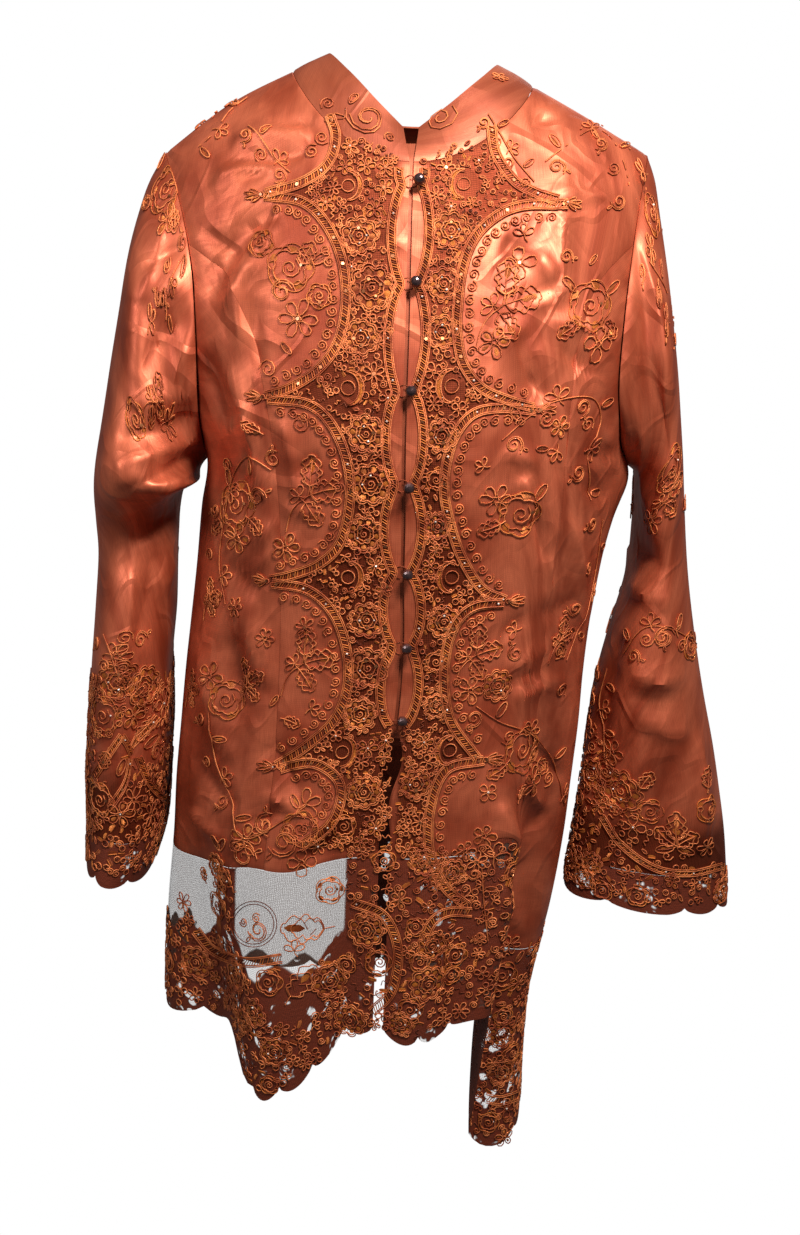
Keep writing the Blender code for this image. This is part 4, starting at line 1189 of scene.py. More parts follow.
def outline_distance(points, outline):
    """Distance from places to the nearest edge of a closed outline."""
    best = np.full(points.shape[:-1], 1e9)
    for start, end in zip(outline, np.roll(outline, -1, axis=0)):
        edge = end - start
        length = max(float(edge @ edge), 1e-9)
        t = np.clip(((points - start) @ edge) / length, 0, 1)
        best = np.minimum(best, np.linalg.norm(points - start - t[..., None] * edge, axis=-1))
    return best


BANDS = {side: band_outline(side) for side in (-1, 1)}


def front_lace(plain, turn, z):
    """Share of dense lace on the front: in the bands beside the edges and at the foot."""
    spots = to_photo(plain)
    share = np.zeros(turn.shape)
    for side in (-1, 1):
        away = outline_distance(spots, BANDS[side])
        away = np.where(inside_outline(spots, BANDS[side]), away, -away)
        share = np.maximum(share, soft_step((away + 2) / 6))
    foot = FRONT_HEMS.at("cloth", turn)
    low = soft_step((foot + 0.006 - z) / 0.012)
    return np.maximum(share, low)


def build_panels():
    """Satin panels of the body."""
    for side in (-1, 1):
        for part, flat in (("centre", front_centre_flat(side)), ("side", front_side_flat(side))):
            name = f"front_{part}_{side_name(side)}"
            turn, z = flat[..., 0], flat[..., 1]
            points, out = creased_body(turn, z, FRONT)
            points = inset(points) - out * seam_dip(turn.shape, (False, True), (part == "side", True))
            lace = front_lace(body(turn, z, FRONT), turn, z)
            item = shell(f"satin_{name}", points, out, SATIN_THICK, SATIN, lace)
            dress(item, "copper_satin", name)
    flat = back_flat()
    turn, z = flat[..., 0], flat[..., 1]
    points, out = creased_body(turn, z, BACK)
    points = inset(points) - out * seam_dip(turn.shape, (False, True))
    item = shell("satin_back", points, out, SATIN_THICK, SATIN, 0.0)
    dress(item, "copper_satin", "back")


def build_sleeve(side):
    name = side_name(side)
    rounds = ROUNDS[side]
    rings = np.linspace(0, LAST_SLEEVE_RING, SLEEVE_ROWS + 1)
    ring, around = np.broadcast_arrays(rings[:, None], rounds[None, :])
    points, out = creased_sleeve(side, ring, around)
    seam, body_out = ARMHOLE_RINGS[side]
    share = (1 + np.cos(rounds * 2 * math.pi))[:, None] / 2
    along = np.roll(seam, -1, axis=0) - np.roll(seam, 1, axis=0)
    away = unit(np.cross(body_out, along)) * side
    points[0] = seam + SEAM * away + 2 * SEAM * body_out * (1 - share)
    out[0] = unit(body_out * share + out[0] * (1 - share))
    lace = soft_step((ring - 12.4) / 0.6)
    item = shell(f"satin_sleeve_{name}", points, out, SATIN_THICK, SATIN, lace, wrap=True)
    dress(item, "copper_satin", f"sleeve_{name}")


def build_collar():
    dip = seam_dip(COLLAR_POINTS.shape[:2], (True, False), (False, False))
    points = inset(COLLAR_POINTS - COLLAR_OUT * dip, rows=(False, False))
    item = shell("satin_collar", points, COLLAR_OUT, COLLAR_THICK, COLLAR_SATIN, 0.0)
    dress(item, "collar_satin", "collar")


def scallop(count, columns, drop):
    """How far each column of a lace edge hangs below the line between its scallops."""
    phase = np.linspace(0, count, columns)
    return drop * np.abs(np.sin(math.pi * phase)) ** 0.6


def build_hem(name, turns, face, drop):
    """Sheer net and lace below the satin, one piece, with its scalloped edge."""
    cloth = hem_of(face).at("cloth", turns)
    lace = hem_of(face).at("lace", turns) - drop
    heights = cloth + (lace - cloth) * np.linspace(1, 0, HEM_ROWS + 1)[:, None]
    turn = np.broadcast_to(turns, heights.shape)
    points, out = creased_body(turn, heights, face)
    points = inset(points, rows=(False, True))
    points[-1, :, 2] -= 1.5 * SEAM
    item = shell(f"net_{name}", points, out, NET_THICK, NET, hem_lace_share(turn, heights, face))
    dress(item, "embroidered_net", name)


def hem_lace_share(turn, z, face):
    """Share of lace on the net below the satin: full at the edge, with bare windows above it."""
    cloth = hem_of(face).at("cloth", turn)
    lace = hem_of(face).at("lace", turn)
    up = (z - lace) / (cloth - lace)
    high = 0.60 if face < 0 else 0.46 - 0.40 * np.exp(-(((turn + 0.36) / 0.32) ** 4))
    share = soft_step((high + 0.05 * np.sin(turn * 40) - up) / 0.12)
    if face < 0:
        middle = soft_step((turn + 0.13) / 0.05)
        strip = np.exp(-(((turn + 0.50) / 0.06) ** 4))
        return np.maximum(share, np.maximum(middle, strip))
    # Full lace round the back's middle: real lace, and also a dark sheet that stands in for the shade seen
    # through the gap between the fronts.
    return np.maximum(share, np.exp(-(((turn - 0.04) / 0.13) ** 4)))


def build_hems():
    for side in (-1, 1):
        centre = front_centre_flat(side)[0, :, 0]
        flank = front_side_flat(side)[0, 1:, 0]
        drops = np.concatenate([
            scallop(CENTRE_SCALLOPS, len(centre), SCALLOP_DROP),
            scallop(SIDE_SCALLOPS, len(flank) + 1, SCALLOP_DROP)[1:],
        ])
        build_hem(f"hem_lace_front_{side_name(side)}", np.concatenate([centre, flank]), FRONT, drops)
    turns = back_flat()[0, :, 0]
    drops = scallop(BACK_SCALLOPS, len(turns), SCALLOP_DROP)
    build_hem("hem_lace_back", turns, BACK, drops)


def build_cuff(side):
    name = side_name(side)
    rounds = ROUNDS[side]
    rings = np.linspace(LAST_SLEEVE_RING, LAST_SLEEVE_RING + 1.0, CUFF_ROWS + 1)
    half = len(rounds) // 2
    for part, chosen in (("front", np.arange(0, half + 1)), ("back", np.arange(half, 2 * half + 1))):
        around = np.append(rounds, 1.0)[chosen]
        ring, turn = np.broadcast_arrays(rings[:, None], around[None, :])
        points, out = creased_sleeve(side, ring, turn)
        points[0] += unit(points[1] - points[0]) * SEAM
        drop = unit(points[-1] - points[-2]) * scallop(CUFF_SCALLOPS // 2, len(around), CUFF_DROP)[:, None]
        points += drop * np.linspace(0, 1, CUFF_ROWS + 1)[:, None, None] ** 2
        points = inset(points, rows=(False, False))
        item = shell(f"net_cuff_{name}_{part}", points, out, NET_THICK, NET, 1.0)
        dress(item, "embroidered_net", f"cuff_lace_{name}_{part}")


def build_underlap():
    """Satin band behind the buttoned edges, up behind the collar's ends."""
    columns = []
    heights = np.linspace(LAST_BUTTON_Z - UNDERLAP_BELOW, NECK_FRONT_Z, UNDERLAP_ROWS)
    for side, share in ((-1, 0.75), (-1, 0.35), (-1, 0.0), (1, 0.0), (1, 0.35), (1, 0.75)):
        half = np.abs(SECTIONS.at(side_name(side), heights) - SECTIONS.at("centre", heights))
        turn = edge_turn(side, heights) + side * share * UNDERLAP_HALF / half * 2 / math.pi
        points, out = creased_body(turn, heights, FRONT, lift=-(UNDERLAP_DEEP + 2 * SEAM))
        end, beside = (0, 4) if side < 0 else (-1, -5)
        chosen = slice(COLLAR_ROWS // 4, COLLAR_ROWS * 3 // 4, 2)
        rise = COLLAR_POINTS[chosen, end] * (1 - share) + COLLAR_POINTS[chosen, beside] * share
        rise_out = unit(COLLAR_OUT[chosen, end] * (1 - share) + COLLAR_OUT[chosen, beside] * share)
        rise = rise - rise_out * (UNDERLAP_DEEP + 3 * SEAM)
        columns.append((np.concatenate([points, rise]), np.concatenate([out, rise_out])))
    points = np.stack([column[0] for column in columns], axis=1)
    out = np.stack([column[1] for column in columns], axis=1)
    item = shell("satin_underlap", points, out, SATIN_THICK, COLLAR_SATIN, 0.0)
    dress(item, "copper_satin", "front_underlap")


def build_buttons():
    """Ball buttons: the carried-over shapes with their dark pearl finish."""
    for number in range(1, len(BUTTONS_DOWN) + 1):
        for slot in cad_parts[f"button_{number}"].material_slots:
            slot.material = BUTTON


# Embroidery: cord thickness, and how high each kind lies over the cloth
CORD_RADIUS = {"cord": 0.00064, "gold": 0.00056, "dark": 0.00044}
CORD_LIFT = {"cord": 0.00070, "gold": 0.00060, "dark": 0.00030}
LIFT_SPREAD = 0.0004
CORD_SIDES = 3
LONGEST_STITCH = 0.013

# Gold stitching: how high its middle, its edge and its underside lie
FILL_HIGH, FILL_EDGE, FILL_UNDER = 0.0007, 0.0002, -0.0003

# Beads and sequins
BEAD_LIFT, BEAD_RADIUS, SEQUIN_RADIUS, SEQUIN_DEEP = 0.0013, 0.0009, 0.0013, 0.0004
WHITE_SHARE = 0.3

# A pixel of the photograph on the cloth, how much of its size a motif takes up, and how close two come
PIXEL_MM = 0.80
MOTIF_ROOM, CLOSEST = 0.80, 0.92

# Search for a place that shows at a spot of the photograph: rounds, steps and longest move
FIND_ROUNDS, STEP_A, STEP_B, LONGEST_MOVE = 5, 0.004, 0.002, 0.05


class Ground:
    """A surface that is embroidered. A place on it is two numbers, such as turn and height."""

    def __init__(self, plain, cloth, starts, face, right, up):
        self.plain, self.cloth, self.face = plain, cloth, face
        self.right, self.up = right, up
        self.starts = np.stack(np.meshgrid(*starts), axis=-1).reshape(-1, 2)
        self.seen = self.photo(plain(self.starts[:, 0], self.starts[:, 1]))

    def photo(self, points):
        """Where points show in the photograph. A back is seen through, as if it were a front."""
        return to_photo(points * np.array([1, -self.face, 1]))

    def find(self, spots):
        """Places that show at spots of the photograph."""
        spots = np.atleast_2d(np.asarray(spots, dtype=float))
        nearest = [np.argmin(np.sum((self.seen - spot) ** 2, axis=1)) for spot in spots]
        a, b = self.starts[nearest].T.copy()
        low, high = self.starts.min(axis=0), self.starts.max(axis=0)
        for _ in range(FIND_ROUNDS):
            here = self.photo(self.plain(a, b))
            by_a = (self.photo(self.plain(a + STEP_A, b)) - here) / STEP_A
            by_b = (self.photo(self.plain(a, b + STEP_B)) - here) / STEP_B
            miss = spots - here
            area = by_a[:, 0] * by_b[:, 1] - by_a[:, 1] * by_b[:, 0]
            area = np.where(np.abs(area) < 400, np.where(area < 0, -400, 400), area)
            move_a = (miss[:, 0] * by_b[:, 1] - miss[:, 1] * by_b[:, 0]) / area
            move_b = (by_a[:, 0] * miss[:, 1] - by_a[:, 1] * miss[:, 0]) / area
            # Spots past the outline stay at the edge of the cloth
            a = np.clip(a + np.clip(move_a, -LONGEST_MOVE, LONGEST_MOVE), low[0], high[0])
            b = np.clip(b + np.clip(move_b, -LONGEST_MOVE, LONGEST_MOVE), low[1], high[1])
        return pair(a, b)

    def metres(self, places):
        """How much each number changes over a metre to the right and a metre up, seen from outside."""
        a, b = np.asarray(places, dtype=float).T
        by_a = np.linalg.norm(self.plain(a + STEP_A, b) - self.plain(a - STEP_A, b), axis=-1) / (2 * STEP_A)
        by_b = np.linalg.norm(self.plain(a, b + STEP_A) - self.plain(a, b - STEP_A), axis=-1) / (2 * STEP_A)
        return np.stack([self.right / np.maximum(by_a, 0.02), self.up / np.maximum(by_b, 0.002)], axis=-1)


def body_ground(face):
    starts = (np.linspace(-0.96, 0.96, 97), np.linspace(-0.945, 0.0, 140))
    return Ground(
        lambda a, b: body(a, b, face), lambda a, b, lift: creased_body(a, b, face, lift),
        starts, face, -face, 1,
    )


def sleeve_ground(side, face):
    rounds = np.linspace(0.01, 0.49, 40)
    starts = (rounds if face < 0 else 1 - rounds, np.linspace(0.3, 14.95, 120))
    return Ground(
        lambda a, b: held_sleeve(side, b, a), lambda a, b, lift: creased_sleeve(side, b, a, lift),
        starts, face, -side, -1,
    )


def collar_cloth(a, b, lift):
    """Collar cloth at a share of the way round, from -1 to 1, and a share of the way up."""
    a, b = np.broadcast_arrays(np.asarray(a, float), np.asarray(b, float))
    rows, columns = COLLAR_POINTS.shape[:2]
    column = np.clip((a + 1) / 2 * (columns - 1), 0, columns - 1.001)
    row = np.clip(b * (rows - 1), 0, rows - 1.001)
    i, j = row.astype(int), column.astype(int)
    v, u = (row - i)[..., None], (column - j)[..., None]
    mixed = []
    for grid in (COLLAR_POINTS, COLLAR_OUT):
        low = grid[i, j] * (1 - u) + grid[i, j + 1] * u
        high = grid[i + 1, j] * (1 - u) + grid[i + 1, j + 1] * u
        mixed.append(low * (1 - v) + high * v)
    out = unit(mixed[1])
    return mixed[0] + out * np.broadcast_to(lift, a.shape)[..., None], out


def collar_ground():
    ends = np.linspace(0.5, 1, 50)
    starts = (np.concatenate([-ends, ends]), np.linspace(0.02, 0.98, 25))
    return Ground(lambda a, b: collar_cloth(a, b, 0.0)[0], collar_cloth, starts, FRONT, -1, 1)


def turned(points, angle, centre=(0.0, 0.0), size=1.0):
    cosine, sine = math.cos(angle), math.sin(angle)
    points = np.asarray(points, dtype=float) * size
    return points @ np.array([[cosine, sine], [-sine, cosine]]) + np.array(centre)


def wheel(radius, count=8, centre=(0.0, 0.0), waves=0, deep=0.0):
    """Closed ring, wavy if wanted."""
    angle = np.linspace(0, 2 * math.pi, count, endpoint=False)
    reach = radius * (1 - deep + 2 * deep * np.abs(np.cos(waves * angle / 2)) ** 0.8)
    return np.stack([centre[0] + reach * np.cos(angle), centre[1] + reach * np.sin(angle)], axis=-1)


def petal(start, end, wide, angle=0.0, count=8, point=0.0):
    """Closed petal that lies along a direction: rounder at its far end, or pointed at both."""
    t = np.linspace(0, 2 * math.pi, count, endpoint=False)
    share = (1 - np.cos(t)) / 2
    side = wide * np.sin(t) * (0.55 + 0.45 * share * (1 - point) + 0.2 * point)
    return turned(np.stack([start + (end - start) * share, side], axis=-1), angle)


def curl(radius, turns=1.6, hand=1, angle=0.0, count=14, inner=0.16):
    t = np.linspace(0, 1, count)
    reach = radius * (1 - (1 - inner) * t**0.85)
    swing = hand * t * turns * 2 * math.pi
    return turned(np.stack([reach * np.cos(swing), reach * np.sin(swing)], axis=-1), angle)


def placed(strokes, angle, centre, size):
    return [(kind, closed, turned(points, angle, centre, size)) for kind, closed, points in strokes]


BEAD_AT = np.zeros((1, 2))


# Motifs, each a list of strokes: their kind, whether they close, and points. Each is about 1 in reach.
def draw_floret(chance):
    """Small flower of looped petals."""
    strokes = [("cord", True, wheel(0.17, 5))]
    if chance.random() < 0.35:
        strokes.append(("bead", False, BEAD_AT))
    petals = chance.choice([4, 5, 5, 6])
    for i in range(petals):
        angle = 2 * math.pi * i / petals + chance.uniform(-0.12, 0.12)
        reach = chance.uniform(0.85, 1.05)
        strokes.append(("cord", True, petal(0.16, reach, 1.75 / petals, angle, 8)))
        if petals == 5:
            strokes.append(("fill", True, petal(0.34, reach * 0.84, 0.17, angle, 6)))
    return strokes


def draw_bloom(chance):
    """Large many-petalled flower with a gold rim and a knotted middle."""
    petals = 9
    strokes = [
        ("cord", True, wheel(1.0, 54, waves=petals, deep=0.11)),
        ("cord", True, wheel(0.87, 45, waves=petals, deep=0.12)),
        ("cord", True, wheel(0.52, 26, waves=8, deep=0.13)),
        ("cord", False, curl(0.26, 1.4, 1, chance.uniform(0, 6), 10)),
        ("gold", True, wheel(0.36, 18, waves=6, deep=0.14)),
    ]
    for i in range(petals):
        angle = 2 * math.pi * i / petals
        strokes.append(("fill", True, petal(0.56, 0.90, 0.19, angle, 8)))
        strokes.append(("dark", True, petal(0.30, 0.58, 0.13, angle + 0.35, 6)))
        strokes.append(("dark", False, turned([(0.56, 0.0), (0.78, 0.03)], angle + 0.35)))
    for i in range(4):
        strokes.append(("bead", False, turned(np.array([[0.42, 0.0]]), 1.6 * i)))
    return strokes


def draw_rose(chance):
    strokes = [
        ("gold", True, wheel(0.97, 35, waves=5, deep=0.10)),
        ("cord", True, turned(wheel(0.72, 24, waves=4, deep=0.12), 0.6)),
        ("cord", False, curl(0.50, 1.7, -1, 0.9, 16)),
        ("bead", False, np.array([[0.5, 0.1]])),
    ]
    for i in range(5):
        angle = 2 * math.pi * (i + 0.1) / 5
        strokes.append(("fill", True, petal(0.66, 0.97, 0.30, angle, 8)))
        edge = [(0.72, 0.05), (0.90, 0.22), (0.82, 0.40), (0.70, 0.46)]
        strokes.append(("cord", False, turned(edge, angle)))
    return strokes


def draw_leaf(chance):
    return [
        ("cord", True, petal(0.0, 1.0, 0.28, 0.0, 10, 1.0)),
        ("dark", False, np.array([(0.0, 0.0), (0.35, 0.03), (0.85, 0.0)])),
        ("fill", True, petal(0.14, 0.80, 0.12, 0.0, 6, 1.0)),
    ]


def draw_trefoil(chance):
    strokes = [("cord", True, petal(0.05, 0.95, 0.32, angle, 9)) for angle in (-1.15, 0.0, 1.15)]
    return strokes + [("cord", False, np.array([(0.05, 0.0), (-0.35, -0.10), (-0.62, -0.34)]))]


def draw_curl(chance):
    return [("cord", False, curl(1.0, 1.8, chance.choice([-1, 1]), chance.uniform(0, 6.3), 17))]


def draw_twin(chance):
    """Spiral of two cords with a small leaf at its back."""
    return [
        ("cord", False, curl(1.0, 1.55, 1, 0.0, 19)),
        ("cord", False, curl(0.78, 1.25, 1, 0.25, 14, 0.3)),
        ("cord", True, petal(0.95, 1.50, 0.15, 0.5, 7)),
    ]


def draw_eye(chance):
    return [("cord", True, wheel(0.95, 8)), ("dark", True, wheel(0.45, 5))]


def draw_squiggle(chance):
    t = np.linspace(-1, 1, 9)
    side = 0.36 * np.sin(t * 5 + chance.uniform(0, 6))
    return [("cord" if chance.random() < 0.5 else "dark", False, pair(t, side))]


def draw_oak(chance):
    """Leaf of round lobes in a double outline, with a gold middle."""
    strokes = [("cord", False, np.array([(-0.25, -0.05), (0.0, 0.0), (0.4, 0.03), (0.8, 0.0)]))]
    for size, count in ((1.0, 40), (0.74, 28)):
        t = np.linspace(0, 2 * math.pi, count, endpoint=False)
        share = (1 - np.cos(t)) / 2
        lobes = 0.50 + 0.50 * np.abs(np.sin(share * 3.3 * math.pi)) ** 0.8
        side = 0.36 * np.sin(t) * lobes * size
        strokes.append(("cord", True, np.stack([0.08 * (1 - size) + share * size * 0.98, side], axis=-1)))
    strokes.append(("fill", True, petal(0.42, 0.92, 0.13, 0.0, 6, 1.0)))
    strokes.append(("dark", False, np.array([(0.18, 0.0), (0.30, 0.16)])))
    strokes.append(("dark", False, np.array([(0.36, 0.02), (0.48, -0.15)])))
    return strokes


def draw_spray(chance):
    """Curved stem with three lobed leaves and a bud."""
    stem = [(-0.5, -0.9), (-0.42, -0.5), (-0.25, -0.2), (0.0, 0.0), (0.05, 0.3)]
    strokes = [("cord", False, smooth_path(stem, 0.14))]
    leaves = [(1.50, (0.05, 0.24), 0.78), (0.25, (0.08, 0.04), 0.84), (-0.95, (-0.04, -0.16), 0.70)]
    for leaf in leaves:
        strokes += placed(draw_oak(chance), *leaf)
    return strokes + placed(draw_trefoil(chance), 2.6, (-0.2, 0.0), 0.30)


def draw_tree(chance):
    """Upright sprig of five leaves, gold in the middle, over two scrolls."""
    strokes = placed(draw_oak(chance), math.pi / 2, (0.0, 0.05), 0.95)
    for sign in (-1, 1):
        strokes += placed(draw_oak(chance), math.pi / 2 - 1.0 * sign, (0.06 * sign, -0.1), 0.78)
        strokes += placed(draw_leaf(chance), math.pi / 2 - 1.9 * sign, (0.05 * sign, -0.2), 0.62)
        strokes.append(("cord", False, turned(curl(0.20, 1.2, sign, 0.0, 9), 0.0, (0.26 * sign, -0.52))))
    strokes.append(("fill", True, wheel(0.13, 7, (0.0, 0.35))))
    return strokes


def draw_crescent(chance):
    """Gold crescent round an oval."""
    sweep = np.linspace(-1.75, 1.75, 15)
    thick = 0.06 + 0.26 * np.cos(sweep / 1.75 * math.pi / 2)
    outer = np.stack([np.cos(sweep) * 0.92, np.sin(sweep) * 1.10], axis=-1)
    inner = np.stack([np.cos(sweep) * (0.92 - thick), np.sin(sweep) * (1.10 - thick)], axis=-1)
    strokes = [
        ("cord", True, np.concatenate([outer, inner[::-1]])),
        ("cord", True, wheel(0.46, 12, (-0.12, 0.0))),
    ]
    for i in range(len(sweep) - 1):
        strokes.append(("fill", True, np.stack([outer[i], outer[i + 1], inner[i + 1], inner[i]])))
    return strokes


def draw_bud(chance):
    """Fan of narrow filled leaves that ends an arc."""
    strokes = [("cord", True, wheel(0.13, 6, (-0.02, 0.0))), ("bead", False, np.array([[0.05, 0.0]]))]
    for angle, reach in ((-0.46, 0.70), (-0.15, 0.98), (0.17, 0.95), (0.50, 0.66)):
        strokes.append(("cord", True, petal(0.10, reach, 0.12, angle, 9, 1.0)))
        strokes.append(("fill", True, petal(0.20, reach * 0.86, 0.06, angle, 6, 1.0)))
    return strokes


def draw_tear(chance):
    return [("cord", True, petal(0.0, 1.0, 0.34, 0.0, 14)), ("cord", True, petal(0.2, 0.84, 0.2, 0.0, 10))]


def draw_stitches(chance):
    """Block of gold satin stitch."""
    thread = np.array([(-0.9, 0.3), (0.8, 0.4)])
    return [("fill", True, petal(-1.0, 1.0, 0.55, 0.0, 8, 1.0)), ("gold", False, thread)]


DRAW = {
    "floret": draw_floret, "bloom": draw_bloom, "rose": draw_rose, "leaf": draw_leaf, "eye": draw_eye,
    "trefoil": draw_trefoil, "curl": draw_curl, "twin": draw_twin, "squiggle": draw_squiggle,
    "oak": draw_oak, "spray": draw_spray, "tree": draw_tree, "crescent": draw_crescent, "bud": draw_bud,
    "tear": draw_tear, "stitches": draw_stitches,
}


class Room:
    """Points that are taken by motifs, so that others keep clear of them."""

    def __init__(self, most=9000):
        self.points, self.reach, self.count = np.zeros((most, 3)), np.zeros(most), 0

    def free(self, point, reach):
        near = np.sum((self.points[:self.count] - point) ** 2, axis=1)
        return not np.any(near < (CLOSEST * (self.reach[:self.count] + reach)) ** 2)

    def take(self, points, reach):
        for point in np.atleast_2d(points):
            self.points[self.count], self.reach[self.count] = point, reach
            self.count += 1


class Needlework:
    """Embroidery of one region of one ground, gathered as places and sewn on at the end."""

    def __init__(self, ground, seed):
        self.ground = ground
        self.chance = np.random.default_rng(seed)
        self.strokes = {"cord": [], "gold": [], "dark": []}
        self.fills, self.beads, self.room = [], [], Room()

    def add(self, kind, closed, places):
        if kind == "fill":
            self.fills.append(places)
        elif kind == "bead":
            self.beads.append(places)
        else:
            self.strokes[kind].append((closed, places))

    def motifs(self, names, places, sizes, angles):
        """Motifs round places, of sizes in metres, turned by angles from the right."""
        scales = self.ground.metres(places)
        for name, place, size, angle, scale in zip(names, places, sizes, angles, scales):
            for kind, closed, points in DRAW[name](self.chance):
                self.add(kind, closed, place + turned(points, angle) * size * scale)

    def put(self, rows, larger=1.0):
        """Motifs at spots of the photograph: name, across, down, size in mm, angle in degrees or none."""
        names, across, down, sizes, angles = zip(*((*row, 0)[:5] for row in rows))
        places = self.ground.find(np.column_stack([across, down]))
        sizes = [size / 1000 * larger for size in sizes]
        self.motifs(names, places, sizes, [math.radians(angle) for angle in angles])
        for point, size in zip(self.ground.plain(*places.T), sizes):
            self.room.take(point, size * MOTIF_ROOM)

    def path(self, kind, spots, closed=False):
        places = self.ground.find(spots)
        self.add(kind, closed, places)
        return places

    def vine(self, spots, curls=6, size=5.0):
        """Stem along spots of the photograph, with curls and leaves on both its sides in turn."""
        line = smooth_path(spots, 2.6)
        self.room.take(self.ground.plain(*self.path("cord", line).T), 0.0015)
        beside = sideways(line)
        rows = []
        for number, i in enumerate(np.linspace(2, len(line) - 3, curls).astype(int)):
            sign = 1 if number % 2 else -1
            name, grow = (("twin", 0.9), ("leaf", 1.5), ("curl", 0.75), ("trefoil", 1.15))[number % 4]
            away = beside[i] * sign
            spot = line[i] + away * size * (0.9 if name in ("twin", "curl") else 0.2) / PIXEL_MM
            rows.append((name, *spot, size * grow, math.degrees(math.atan2(-away[1], away[0]))))
        self.put(rows)

    def ladder(self, spots, gap=3.2, beads=11):
        """Cords in pairs along spots of the photograph, with gold bars and beads between them."""
        line = smooth_path(spots, 2.5)
        beside = sideways(line)
        for sign in (-1, 1):
            self.path("cord", line + beside * gap * sign)
            self.path("cord", line + beside * (gap + 1.5) * sign)
        inner = self.ground.find(line - beside * gap * 0.8)
        outer = self.ground.find(line + beside * gap * 0.8)
        middle = (inner + outer) / 2
        for i in range(len(line) - 1):
            kind = "dark" if i % 3 == 2 else "gold"
            self.add(kind, False, np.stack([inner[i], (middle[i] + middle[i + 1]) / 2, outer[i + 1]]))
        self.beads += [middle[i:i + 1] for i in range(2, len(line), beads)]
        self.room.take(self.ground.plain(*middle.T), gap * PIXEL_MM / 1000 * 1.2)

    def curl_row(self, spots, side, away=12.5, step=14.0, size=4.6):
        """Small curls in a row beside spots of the photograph, over a fine cord."""
        line = smooth_path(spots, step)[1:-1]
        beside = sideways(line) * side
        self.put([("curl", *spot, size, 0.0) for spot in line + beside * away])
        fine = smooth_path(spots, 3.0)[3:-3]
        self.path("dark", fine + sideways(fine) * side * (away - size / PIXEL_MM - 1.2))

    def scatter(self, a_range, b_range, wanted, kinds, tries):
        """Motifs strewn at random where they are wanted, clear of each other: name to size in mm."""
        a = self.chance.uniform(*a_range, tries)
        b = self.chance.uniform(*b_range, tries)
        picked = self.chance.integers(len(kinds), size=tries)
        sizes = np.array([size for _, size in kinds])[picked] / 1000 * self.chance.uniform(0.85, 1.1, tries)
        keep = wanted(a, b, sizes)
        a, b, picked, sizes = a[keep], b[keep], picked[keep], sizes[keep]
        chosen = []
        for i, point in enumerate(self.ground.plain(a, b)):
            if self.room.free(point, sizes[i] * MOTIF_ROOM):
                self.room.take(point, sizes[i] * MOTIF_ROOM)
                chosen.append(i)
        if chosen:
            angles = self.chance.uniform(0, 2 * math.pi, len(chosen))
            names = [kinds[picked[i]][0] for i in chosen]
            self.motifs(names, pair(a, b)[chosen], sizes[chosen], angles)


def sideways(line):
    """Directions square to a line, to its left as it runs across the photograph."""
    ahead = unit(np.gradient(line, axis=0))
    return pair(ahead[:, 1], -ahead[:, 0])


def new_tree(name):
    """Tree for geometry that is given a radius and a material, as a board with what it is given."""
    group = bpy.data.node_groups.new(name, "GeometryNodeTree")
    group.interface.new_socket("Geometry", in_out="OUTPUT", socket_type="NodeSocketGeometry")
    for label, kind in (("Geometry", "Geometry"), ("Radius", "Float"), ("Material", "Material")):
        group.interface.new_socket(label, in_out="INPUT", socket_type=f"NodeSocket{kind}")
    board = Board(group)
    return board, board.node("NodeGroupInput").outputs


def close_tree(board, geometry, material):
    real = board.node("GeometryNodeRealizeInstances", {}, {"Geometry": geometry})
    painted = board.node("GeometryNodeSetMaterial", {}, {"Geometry": real.outputs[0], "Material": material})
    board.node("NodeGroupOutput", {}, {0: painted.outputs[0]})
    return board.tree


def cord_tree():
    """Round cord along every run of edges, marked with the distance along it."""
    board, given = new_tree("cord_along_edges")
    curve = board.node("GeometryNodeMeshToCurve", {}, {"Mesh": given["Geometry"]})
    along = board.node("GeometryNodeSplineParameter").outputs["Length"]
    marked = board.node(
        "GeometryNodeStoreNamedAttribute", {"data_type": "FLOAT", "domain": "POINT"},
        {"Geometry": curve.outputs[0], "Name": "along", "Value": along},
    )
    section = board.node(
        "GeometryNodeCurvePrimitiveCircle", {}, {"Resolution": CORD_SIDES, "Radius": given["Radius"]}
    )
    tube = board.node(
        "GeometryNodeCurveToMesh", {},
        {"Curve": marked.outputs[0], "Profile Curve": section.outputs[0], "Fill Caps": True},
    )
    smooth = board.node("GeometryNodeSetShadeSmooth", {}, {"Geometry": tube.outputs[0]})
    return close_tree(board, smooth.outputs[0], given["Material"])


def bead_tree(flat):
    """Round bead, or flat sequin, on every point, square to the direction marked there."""
    board, given = new_tree("sequins_on_points" if flat else "beads_on_points")
    if flat:
        sockets = {"Vertices": 6, "Radius": given["Radius"], "Depth": SEQUIN_DEEP}
        one = board.node("GeometryNodeMeshCylinder", {}, sockets)
    else:
        one = board.node("GeometryNodeMeshIcoSphere", {}, {"Radius": given["Radius"], "Subdivisions": 1})
    out = board.node("GeometryNodeInputNamedAttribute", {"data_type": "FLOAT_VECTOR"}, {"Name": "out"})
    turn = board.node("FunctionNodeAlignRotationToVector", {"axis": "Z"}, {"Vector": out.outputs[0]})
    size = board.node("FunctionNodeRandomValue", {"data_type": "FLOAT"}, {2: 0.75, 3: 1.25, "Seed": 5})
    sockets = {"Points": given["Geometry"], "Instance": one.outputs[0], "Rotation": turn.outputs[0]}
    spread = board.node("GeometryNodeInstanceOnPoints", {}, sockets | {"Scale": size.outputs[1]})
    return close_tree(board, spread.outputs[0], given["Material"])


